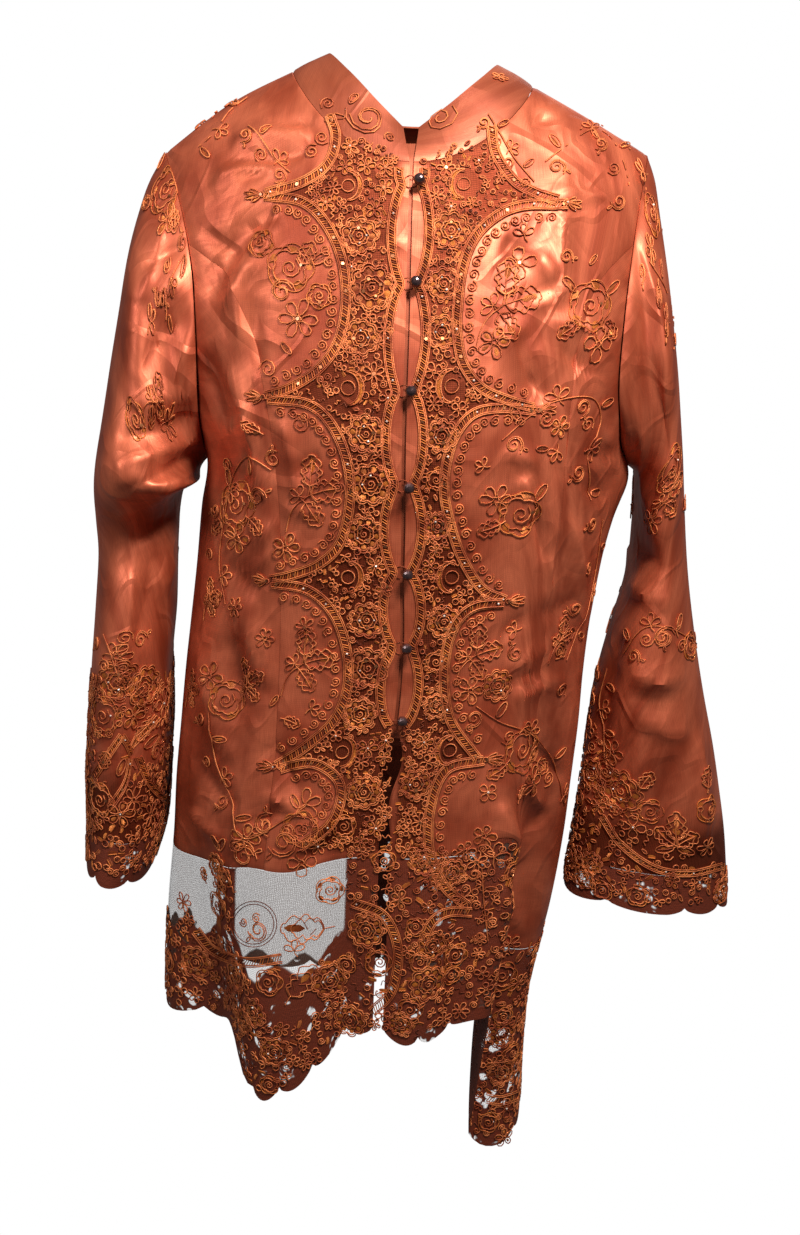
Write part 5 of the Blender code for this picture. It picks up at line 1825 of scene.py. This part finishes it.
def grow(name, points, edges, out, tree, values):
    """Plain mesh that a tree makes from points and edges, with a direction marked at each point."""
    source = bpy.data.meshes.new(name)
    source.from_pydata(points, edges, [])
    if out is not None:
        layer = source.attributes.new("out", "FLOAT_VECTOR", "POINT")
        layer.data.foreach_set("vector", np.ascontiguousarray(out, dtype=np.float32).ravel())
    item = bpy.data.objects.new(name, source)
    bpy.context.collection.objects.link(item)
    modifier = item.modifiers.new("grow", "NODES")
    modifier.node_group = tree
    for socket in tree.interface.items_tree:
        if socket.in_out == "INPUT" and socket.name in values:
            modifier[socket.identifier] = values[socket.name]
    graph = bpy.context.evaluated_depsgraph_get()
    result = bpy.data.meshes.new_from_object(item.evaluated_get(graph), depsgraph=graph)
    item.modifiers.remove(modifier)
    item.data = result
    bpy.data.meshes.remove(source)
    result.name = name
    return item


CORD_TREE = cord_tree()
BEAD_TREE, SEQUIN_TREE = bead_tree(False), bead_tree(True)
THREADS = {"cord": CORD, "gold": GOLD_CORD, "dark": DARK_CORD}


def sew_cords(work, kind, name, slot):
    """All cords of one kind in a region as one piece."""
    strokes = work.strokes[kind]
    if not strokes:
        return
    places = np.concatenate([run for _, run in strokes])
    rise = CORD_LIFT[kind] + work.chance.uniform(0, LIFT_SPREAD, len(strokes))
    lifts = np.concatenate([np.full(len(run), high) for (_, run), high in zip(strokes, rise)])
    points, _ = work.ground.cloth(places[:, 0], places[:, 1], lifts)
    near = np.linalg.norm(np.diff(points, axis=0), axis=1) < LONGEST_STITCH
    edges, at = [], 0
    for closed, run in strokes:
        # A cord stops where the cloth folds out of sight and goes on beyond it
        edges += [(i, i + 1) for i in range(at, at + len(run) - 1) if near[i]]
        if closed:
            edges.append((at + len(run) - 1, at))
        at += len(run)
    values = {"Radius": CORD_RADIUS[kind], "Material": THREADS[kind]}
    dress(grow(f"{name}_{kind}", points, edges, None, CORD_TREE, values), slot)


def sew_fills(work, name, slot):
    """All gold stitching of a region as one piece: low closed cushions with their threads across."""
    if not work.fills:
        return
    places = np.concatenate([np.concatenate([run, [run.mean(axis=0)] * 2]) for run in work.fills])
    rises = [np.append(np.full(len(run), FILL_EDGE), [FILL_HIGH, FILL_UNDER]) for run in work.fills]
    cloth, out = work.ground.cloth(places[:, 0], places[:, 1], np.concatenate(rises))
    threads = np.zeros(len(cloth))
    faces, at = [], 0
    for run in work.fills:
        top, under = at + len(run), at + len(run) + 1
        long = unit(cloth[at + len(run) // 2] - cloth[at])
        threads[at:under + 1] = (cloth[at:under + 1] - cloth[at]) @ long
        loop = list(range(at, top))
        if np.dot(np.cross(cloth[at + 1] - cloth[top], cloth[at + 2] - cloth[top]), out[at]) < 0:
            loop.reverse()
        for here, after in zip(loop, loop[1:] + loop[:1]):
            faces += [(here, after, top), (after, here, under)]
        at = under + 1
    item = finish_mesh(f"{name}_fills", cloth, faces, GOLD_FILL, {"thread": threads}, sharp=80)
    dress(item, slot)


def sew_beads(work, name, slot):
    """White beads and copper sequins of a region on their points."""
    if not work.beads:
        return
    places = np.concatenate(work.beads)
    white = work.chance.random(len(places)) < WHITE_SHARE
    for kind, chosen, tree, radius, material in (
        ("beads", white, BEAD_TREE, BEAD_RADIUS, PEARL),
        ("sequins", ~white, SEQUIN_TREE, SEQUIN_RADIUS, SEQUIN),
    ):
        if not chosen.any():
            continue
        points, out = work.ground.cloth(*places[chosen].T, np.full(chosen.sum(), BEAD_LIFT))
        tilt = unit(out + work.chance.uniform(-0.25, 0.25, out.shape))
        values = {"Radius": radius, "Material": material}
        dress(grow(f"{name}_{kind}", points, [], tilt, tree, values), slot)


def sew(work, name, slot="embroidered_net"):
    """Sews a region's embroidery on."""
    for kind in THREADS:
        sew_cords(work, kind, name, slot)
    sew_fills(work, name, slot)
    sew_beads(work, name, slot)


# How much larger some are made than they show, so that fewer of them fill the cloth as well
BODY_LARGER, BODY_VINES_LARGER, SLEEVE_LARGER, SLEEVE_VINES_LARGER = 1.65, 1.8, 1.45, 1.7

# How many places are tried for strewn motifs
BAND_TRIES, BAY_TRIES, BACK_TRIES = 16000, 420, 170
HEM_TRIES, SLEEVE_TRIES = {FRONT: 16000, BACK: 5200}, {FRONT: 5000, BACK: 1800}

# Motifs read in the photograph: name, across, down, size in mm, and angle in degrees if not 0
BAND_MOTIFS = {
    -1: [
        ("crescent", 350, 186, 11), ("floret", 366, 166, 8), ("floret", 384, 188, 8, 40),
        ("bloom", 359, 236, 14), ("floret", 375, 209, 8, 10), ("bloom", 372, 288, 17, 20),
        ("bloom", 361, 338, 13), ("floret", 385, 330, 7), ("crescent", 350, 388, 12),
        ("floret", 374, 374, 9, 30), ("floret", 388, 398, 7), ("bloom", 366, 434, 14, 10),
        ("bloom", 371, 484, 16), ("bloom", 364, 534, 14, 30), ("crescent", 350, 577, 12),
        ("floret", 376, 566, 9), ("floret", 384, 590, 7, 20), ("bloom", 367, 620, 14),
        ("bloom", 368, 668, 16, 15), ("bloom", 360, 714, 13, 40), ("crescent", 344, 752, 12),
        ("floret", 368, 748, 9), ("floret", 386, 740, 7), ("bloom", 364, 792, 14),
        ("rose", 344, 826, 10, 20), ("floret", 376, 828, 9), ("floret", 318, 846, 8),
    ],
    1: [
        ("crescent", 462, 184, 11, 180), ("floret", 446, 168, 8), ("floret", 436, 196, 8, 40),
        ("bloom", 451, 230, 14), ("bloom", 444, 284, 12, 20), ("bloom", 442, 332, 12),
        ("crescent", 450, 386, 12, 180), ("floret", 434, 372, 8, 30), ("floret", 434, 404, 7),
        ("bloom", 442, 436, 12, 10), ("rose", 436, 480, 8), ("bloom", 438, 526, 10, 30),
        ("crescent", 450, 577, 12, 180), ("floret", 430, 566, 8), ("bloom", 444, 622, 13),
        ("rose", 436, 662, 9), ("bloom", 436, 706, 10, 15), ("crescent", 448, 750, 12, 180),
        ("floret", 424, 742, 8), ("bloom", 416, 784, 12), ("floret", 420, 822, 8, 20),
        ("bloom", 424, 862, 11),
    ],
}
CUSPS = {
    -1: [(262, 195), (263, 397), (267, 581), (274, 767)],
    1: [(564, 205), (539, 410), (508, 601), (486, 759)],
}
BODY_MOTIFS = [
    ("rose", 290, 268, 11), ("oak", 302, 264, 12, 60), ("floret", 298, 319, 10), ("twin", 282, 292, 7),
    ("leaf", 312, 264, 10, 30), ("curl", 268, 369, 5), ("curl", 328, 104, 4), ("curl", 330, 120, 4),
    ("curl", 322, 138, 4), ("curl", 312, 152, 4), ("spray", 308, 496, 20), ("floret", 286, 548, 8),
    ("curl", 300, 424, 5), ("rose", 236, 505, 12), ("oak", 222, 521, 11, 220), ("oak", 250, 519, 11, -40),
    ("floret", 238, 538, 9), ("leaf", 230, 486, 10, 110), ("twin", 258, 497, 6), ("spray", 302, 664, 19),
    ("spray", 246, 684, 14, 20), ("rose", 226, 700, 10), ("spray", 192, 690, 12), ("floret", 212, 676, 8),
    ("trefoil", 305, 804, 9, 20), ("twin", 264, 825, 7, 60), ("twin", 284, 842, 9, 200),
    ("floret", 247, 839, 9, 10), ("twin", 245, 856, 8), ("leaf", 220, 850, 9, 110),
    ("leaf", 220, 850, 9, 60), ("floret", 302, 862, 8), ("rose", 300, 828, 9), ("rose", 590, 306, 12),
    ("oak", 604, 322, 12, -40), ("oak", 576, 322, 12, 220), ("floret", 598, 344, 9),
    ("leaf", 575, 292, 10, 140), ("leaf", 606, 294, 10, 40), ("spray", 502, 306, 22),
    ("floret", 494, 342, 8), ("floret", 520, 262, 8), ("rose", 520, 514, 11), ("oak", 500, 524, 12, 200),
    ("leaf", 534, 500, 10, 50), ("floret", 496, 500, 9), ("spray", 474, 656, 17), ("floret", 470, 690, 8),
    ("rose", 522, 750, 12), ("oak", 506, 764, 11, 220), ("oak", 538, 762, 11, -40), ("floret", 528, 780, 9),
    ("trefoil", 494, 857, 9, 70), ("floret", 484, 836, 7), ("spray", 560, 640, 13), ("curl", 560, 690, 5),
    ("spray", 210, 600, 12, 10),
]
BODY_VINES = [
    # spots, curls, size in mm
    ([(248, 98), (230, 112), (214, 134), (196, 150)], 6, 5.0),
    ([(250, 128), (262, 140), (276, 160), (290, 172)], 5, 4.5),
    ([(545, 162), (566, 146), (592, 130), (612, 140), (626, 172), (630, 206)], 9, 5.5),
    ([(488, 114), (500, 134), (514, 158), (534, 182)], 7, 4.0),
    ([(502, 440), (530, 416), (560, 400), (592, 398), (600, 420), (588, 452), (592, 500)], 10, 5.5),
    ([(272, 470), (250, 456), (236, 470), (228, 500), (220, 560), (226, 604)], 9, 5.0),
    ([(476, 706), (500, 722), (532, 735), (556, 765), (562, 800)], 8, 5.5),
    ([(482, 868), (484, 900), (487, 930), (490, 956)], 6, 4.0),
    ([(212, 712), (216, 760), (232, 800), (246, 838), (284, 820), (305, 806)], 10, 5.0),
    ([(602, 520), (594, 570), (580, 620), (566, 660)], 7, 5.0),
]
SLEEVE_MOTIFS = {
    -1: [
        ("rose", 166, 190, 13), ("oak", 150, 206, 12, 200), ("oak", 182, 202, 12, -20),
        ("floret", 168, 220, 9), ("leaf", 158, 170, 10, 120), ("leaf", 178, 172, 10, 60),
        ("spray", 152, 402, 16), ("floret", 170, 424, 9), ("rose", 136, 420, 9), ("twin", 164, 300, 6),
        ("trefoil", 150, 322, 8, 80), ("curl", 124, 637, 5), ("twin", 141, 640, 6), ("floret", 117, 656, 9),
        ("bloom", 118, 681, 12), ("bloom", 143, 686, 12, 20), ("rose", 103, 716, 12),
        ("floret", 160, 703, 10), ("floret", 134, 717, 9), ("oak", 124, 690, 12, 100),
        ("oak", 140, 742, 15, 55), ("leaf", 146, 748, 14, 20), ("twin", 156, 752, 7), ("curl", 160, 786, 5),
        ("oak", 108, 752, 12, 250), ("floret", 134, 800, 9), ("floret", 120, 814, 9),
        ("floret", 150, 814, 9), ("rose", 100, 800, 10), ("leaf", 118, 776, 11, 70),
    ],
    1: [
        ("spray", 668, 498, 17), ("rose", 672, 470, 11), ("floret", 656, 520, 9), ("oak", 690, 506, 12, 10),
        ("twin", 656, 300, 6), ("trefoil", 664, 322, 8, 100), ("rose", 652, 214, 10),
        ("oak", 660, 232, 11, -60), ("floret", 650, 250, 8), ("twin", 665, 638, 9), ("rose", 690, 646, 9),
        ("tree", 676, 842, 20), ("oak", 702, 786, 14, 70), ("rose", 706, 808, 9), ("oak", 642, 786, 13, 60),
        ("rose", 650, 812, 8), ("floret", 612, 752, 9), ("bloom", 622, 790, 13), ("rose", 605, 772, 8),
        ("floret", 634, 826, 8), ("floret", 706, 846, 8),
    ],
}
SLEEVE_VINES = {
    -1: [([(104, 634), (112, 655), (120, 680), (134, 702)], 6, 5.0),
         ([(196, 240), (180, 262), (170, 290), (166, 320)], 6, 5.0)],
    1: [([(622, 654), (645, 628), (674, 630), (702, 648)], 8, 5.5),
        ([(606, 668), (598, 702), (600, 732), (604, 764)], 8, 5.5),
        ([(648, 262), (664, 290), (672, 320), (670, 350)], 6, 5.0)],
}
SLEEVE_LADDERS = {
    -1: [[(134, 748), (147, 730), (156, 716)], [(133, 760), (127, 782), (111, 806)],
         [(141, 758), (150, 784), (168, 803)], [(122, 735), (108, 756), (95, 776)],
         [(122, 736), (129, 746), (134, 756)]],
    1: [[(602, 816), (622, 845), (655, 868), (690, 873), (722, 866)]],
}
HEM_MOTIFS = [
    ("oak", 324, 928, 38, 176), ("rose", 330, 890, 12), ("oak", 290, 996, 34, 52),
    ("twin", 258, 930, 12, 200), ("curl", 244, 922, 5), ("curl", 257, 918, 5),
    ("trefoil", 294, 950, 10, 90), ("rose", 218, 905, 13), ("stitches", 219, 925, 12, 80),
    ("oak", 206, 880, 13, 100), ("floret", 184, 902, 10), ("bloom", 196, 962, 15),
    ("bloom", 236, 974, 14, 10), ("rose", 268, 982, 12), ("bloom", 330, 980, 15), ("bloom", 366, 930, 15),
    ("rose", 380, 962, 12), ("bloom", 350, 1020, 14), ("floret", 400, 900, 10), ("bloom", 432, 946, 12),
    ("rose", 455, 955, 10), ("bloom", 428, 984, 15, 20), ("floret", 462, 898, 10), ("rose", 410, 1010, 11),
    ("rose", 502, 976, 14), ("leaf", 516, 962, 12, 70), ("tear", 496, 1004, 9), ("floret", 510, 944, 10),
    ("bloom", 503, 1034, 13), ("bloom", 502, 1072, 12, 30), ("rose", 488, 1122, 10),
    ("floret", 506, 1108, 11), ("floret", 504, 1138, 10, 20),
]
BACK_HEM_MOTIFS = [
    ("twin", 206, 872, 13, 40), ("oak", 226, 900, 18, 100), ("trefoil", 262, 884, 10, 60),
    ("rose", 300, 900, 12), ("twin", 330, 878, 12, 200), ("leaf", 186, 902, 12, 80),
    ("floret", 282, 868, 8), ("twin", 352, 908, 11, 120),
]
HEM_LADDERS = [
    [(422, 944), (432, 922), (448, 912), (472, 912)], [(480, 1096), (500, 1100), (521, 1094)],
    [(352, 902), (384, 916), (398, 950), (392, 990), (372, 1012)],
    [(196, 930), (214, 950), (246, 962), (282, 958)],
]
HEM_RINGS = [((254, 924), 20)]
COLLAR_MOTIFS = [
    ("twin", 368, 118, 18, 200), ("tear", 350, 104, 11, 120), ("curl", 440, 118, 14),
    ("floret", 500, 78, 7), ("curl", 390, 138, 5),
]
BAND_FILLERS = [("floret", 7), ("floret", 5), ("eye", 2.6), ("leaf", 5), ("curl", 3.2), ("squiggle", 4),
                ("trefoil", 5), ("stitches", 2.5), ("eye", 2.0), ("squiggle", 2.6)]
LACE_FILLERS = [("bloom", 12), ("rose", 9), ("floret", 9), ("floret", 7), ("leaf", 7), ("trefoil", 6),
                ("curl", 4), ("stitches", 4), ("squiggle", 5), ("eye", 3)]
BAYS_DOWN = [286, 486, 668, 800]
BAY_FILLERS = [("rose", 11), ("oak", 14), ("floret", 10), ("twin", 8), ("leaf", 11), ("trefoil", 9),
               ("bloom", 12)]
THIN_FILLERS = [("rose", 10), ("oak", 11), ("floret", 9), ("twin", 6), ("trefoil", 7), ("spray", 11)]


BODY_GROUNDS = {face: body_ground(face) for face in (FRONT, BACK)}


def seen_in(ground, a, b):
    return ground.photo(ground.plain(a, b))


def middle_loop(across, down):
    """Thread loop that holds a button, from the edge of the front beside it."""
    return [(across - 9, down - 1.5), (across - 3, down - 6), (across + 4, down - 4), (across + 6, down),
            (across + 4, down + 4), (across - 3, down + 6), (across - 9, down + 1.5)]


def stitch_band(side):
    """Dense lace beside one front edge, with its arcs, gold edging, buds and rows of curls."""
    work = Needlework(BODY_GROUNDS[FRONT], 20 + side)
    arcs = RIGHT_ARCS if side < 0 else LEFT_ARCS
    for number, arc in enumerate(arcs):
        work.ladder(arc)
        if number:
            work.curl_row(arc, side)
    edge = moon_edge(side)
    work.ladder(edge[::3] + np.array([side * 4.0, 0.0]), gap=3.0, beads=17)
    work.put([("bud", *spot, 16, 90 + 90 * -side) for spot in CUSPS[side]])
    if side < 0:
        for down in BUTTONS_DOWN:
            middle = float(np.interp(down, BUTTONS_DOWN, BUTTONS_ACROSS))
            work.path("dark", smooth_path(middle_loop(middle, down), 1.5))
    work.put(BAND_MOTIFS[side])
    outline = BANDS[side]

    def wanted(a, b, sizes):
        spots = seen_in(work.ground, a, b)
        clear = outline_distance(spots, outline) * PIXEL_MM / 1000 > sizes * 0.7
        return inside_outline(spots, outline) & clear

    a_range = (-0.42, 0.03) if side < 0 else (-0.03, 0.42)
    work.scatter(a_range, (-0.66, -0.06), wanted, BAND_FILLERS, BAND_TRIES)
    sew(work, f"band_{side_name(side)}", "copper_satin")


def stitch_body(face):
    """Sprays, roses and vines on the satin beside the bands, and similar ones on the back."""
    work = Needlework(BODY_GROUNDS[face], 30)
    work.put(BODY_MOTIFS, BODY_LARGER)
    for spots, curls, size in BODY_VINES:
        work.vine(spots, curls, size * BODY_VINES_LARGER)
    if face < 0:
        def beside_arcs(a, b, sizes):
            spots = seen_in(work.ground, a, b)
            away = np.minimum(*(outline_distance(spots, BANDS[side]) for side in (-1, 1)))
            outside = ~(inside_outline(spots, BANDS[-1]) | inside_outline(spots, BANDS[1]))
            near_bay = np.min(np.abs(spots[:, 1:] - np.array(BAYS_DOWN)), axis=1) < 62
            low = b > hem_of(FRONT).at("cloth", a)
            return outside & near_bay & low & (away > 19 + sizes * 700) & (away < 58) & (np.abs(a) > 0.2)
        work.scatter((-0.75, 0.75), (-0.64, -0.13), beside_arcs, BAY_FILLERS, BAY_TRIES)
    else:
        def bare(a, b, sizes):
            return b > hem_of(BACK).at("cloth", a) + 0.012
        work.scatter((-0.85, 0.85), (-0.70, -0.09), bare, THIN_FILLERS, BACK_TRIES)
    sew(work, f"sprays_{face_name(face)}", "copper_satin")


def stitch_hem(face):
    """Lace on the net below the satin, in the places where the net has it."""
    work = Needlework(BODY_GROUNDS[face], 40 + face)
    if face < 0:
        work.put(HEM_MOTIFS)
        for spots in HEM_LADDERS:
            work.ladder(spots)
        for centre, reach in HEM_RINGS:
            for grown in (reach, reach + 3):
                work.path("dark", wheel(grown, 30, centre), True)
    else:
        work.put(BACK_HEM_MOTIFS)

    def wanted(a, b, sizes):
        low = hem_of(face).at("lace", a) - 0.002
        share = hem_lace_share(a, b, face)
        return (share > 0.6) & (b > low + sizes * 0.7) & (b < hem_of(face).at("cloth", a) + 0.006)

    work.scatter((-0.97, 0.97), (-0.945, -0.63), wanted, LACE_FILLERS, HEM_TRIES[face])
    sew(work, f"hem_{face_name(face)}")


def stitch_sleeve(side, face):
    """Sprays down a sleeve and dense lace over its lower end, front or back."""
    work = Needlework(sleeve_ground(side, face), 50 + side * 2 + face)
    work.put(SLEEVE_MOTIFS[side], SLEEVE_LARGER)
    for spots, curls, size in SLEEVE_VINES[side]:
        work.vine(spots, curls, size * SLEEVE_VINES_LARGER)
    for spots in SLEEVE_LADDERS[side]:
        work.ladder(spots, gap=1.8)

    def wanted(a, b, sizes):
        across, down = seen_in(work.ground, a, b).T
        start = np.minimum(862, 735 + (across - 600) * 1.9) if side > 0 else 672
        return (down > start + sizes * 600) & (b < 14.8)

    a_range = (0.02, 0.49) if face < 0 else (0.51, 0.98)
    work.scatter(a_range, (10.0, 14.9), wanted, LACE_FILLERS, SLEEVE_TRIES[face])
    sew(work, f"sleeve_lace_{side_name(side)}_{face_name(face)}", "copper_satin")


def stitch_collar():
    work = Needlework(collar_ground(), 60)
    work.put(COLLAR_MOTIFS)
    sew(work, "collar_lace", "collar_satin")


def aim(item, target):
    away = np.array(target) - np.array(item.location)
    yaw = math.atan2(away[0], -away[1])
    tilt = math.atan2(math.hypot(away[0], away[1]), -away[2])
    item.rotation_euler = (tilt, 0.0, yaw + math.pi)


def add_light(name, place, size, power, colour=(1, 1, 1)):
    data = bpy.data.lights.new(name, "AREA")
    data.shape = "DISK"
    data.size = size
    data.energy = power
    data.color = colour
    item = bpy.data.objects.new(name, data)
    item.location = place
    aim(item, (0.0, 0.0, -0.45))
    bpy.context.collection.objects.link(item)


def build_studio():
    data = bpy.data.cameras.new("camera")
    data.lens = SENSOR * FOCAL / PHOTO_HIGH
    data.sensor_width = SENSOR
    camera = bpy.data.objects.new("camera", data)
    camera.location = EYE
    camera.rotation_euler = (math.pi / 2 - LOOK_DOWN, 0, 0)
    bpy.context.collection.objects.link(camera)
    bpy.context.scene.camera = camera
    world = bpy.data.worlds.new("studio")
    world.use_nodes = True
    board = Board(world.node_tree)
    seen = board.value("ShaderNodeLightPath", "Is Camera Ray")
    background = world.node_tree.nodes["Background"]
    background.inputs["Color"].default_value = (1.0, 1.0, 1.0, 1)
    world.node_tree.links.new((seen * (SEEN_WHITE - AMBIENT) + AMBIENT).socket, background.inputs["Strength"])
    bpy.context.scene.world = world
    bpy.context.scene.view_settings.view_transform = "Standard"
    add_light("key", (0.36, -0.78, 0.60), 0.34, 31, (1.0, 0.97, 0.94))
    add_light("fill", (-1.05, -0.95, 0.45), 0.5, 10)
    add_light("behind", (0.4, 1.8, 0.9), 1.2, 4)


build_studio()
build_panels()
for side in (-1, 1):
    build_sleeve(side)
    build_cuff(side)
build_collar()
build_underlap()
build_hems()
build_buttons()
for side in (-1, 1):
    stitch_band(side)
for face in (FRONT, BACK):
    stitch_body(face)
    stitch_hem(face)
    for side in (-1, 1):
        stitch_sleeve(side, face)
stitch_collar()
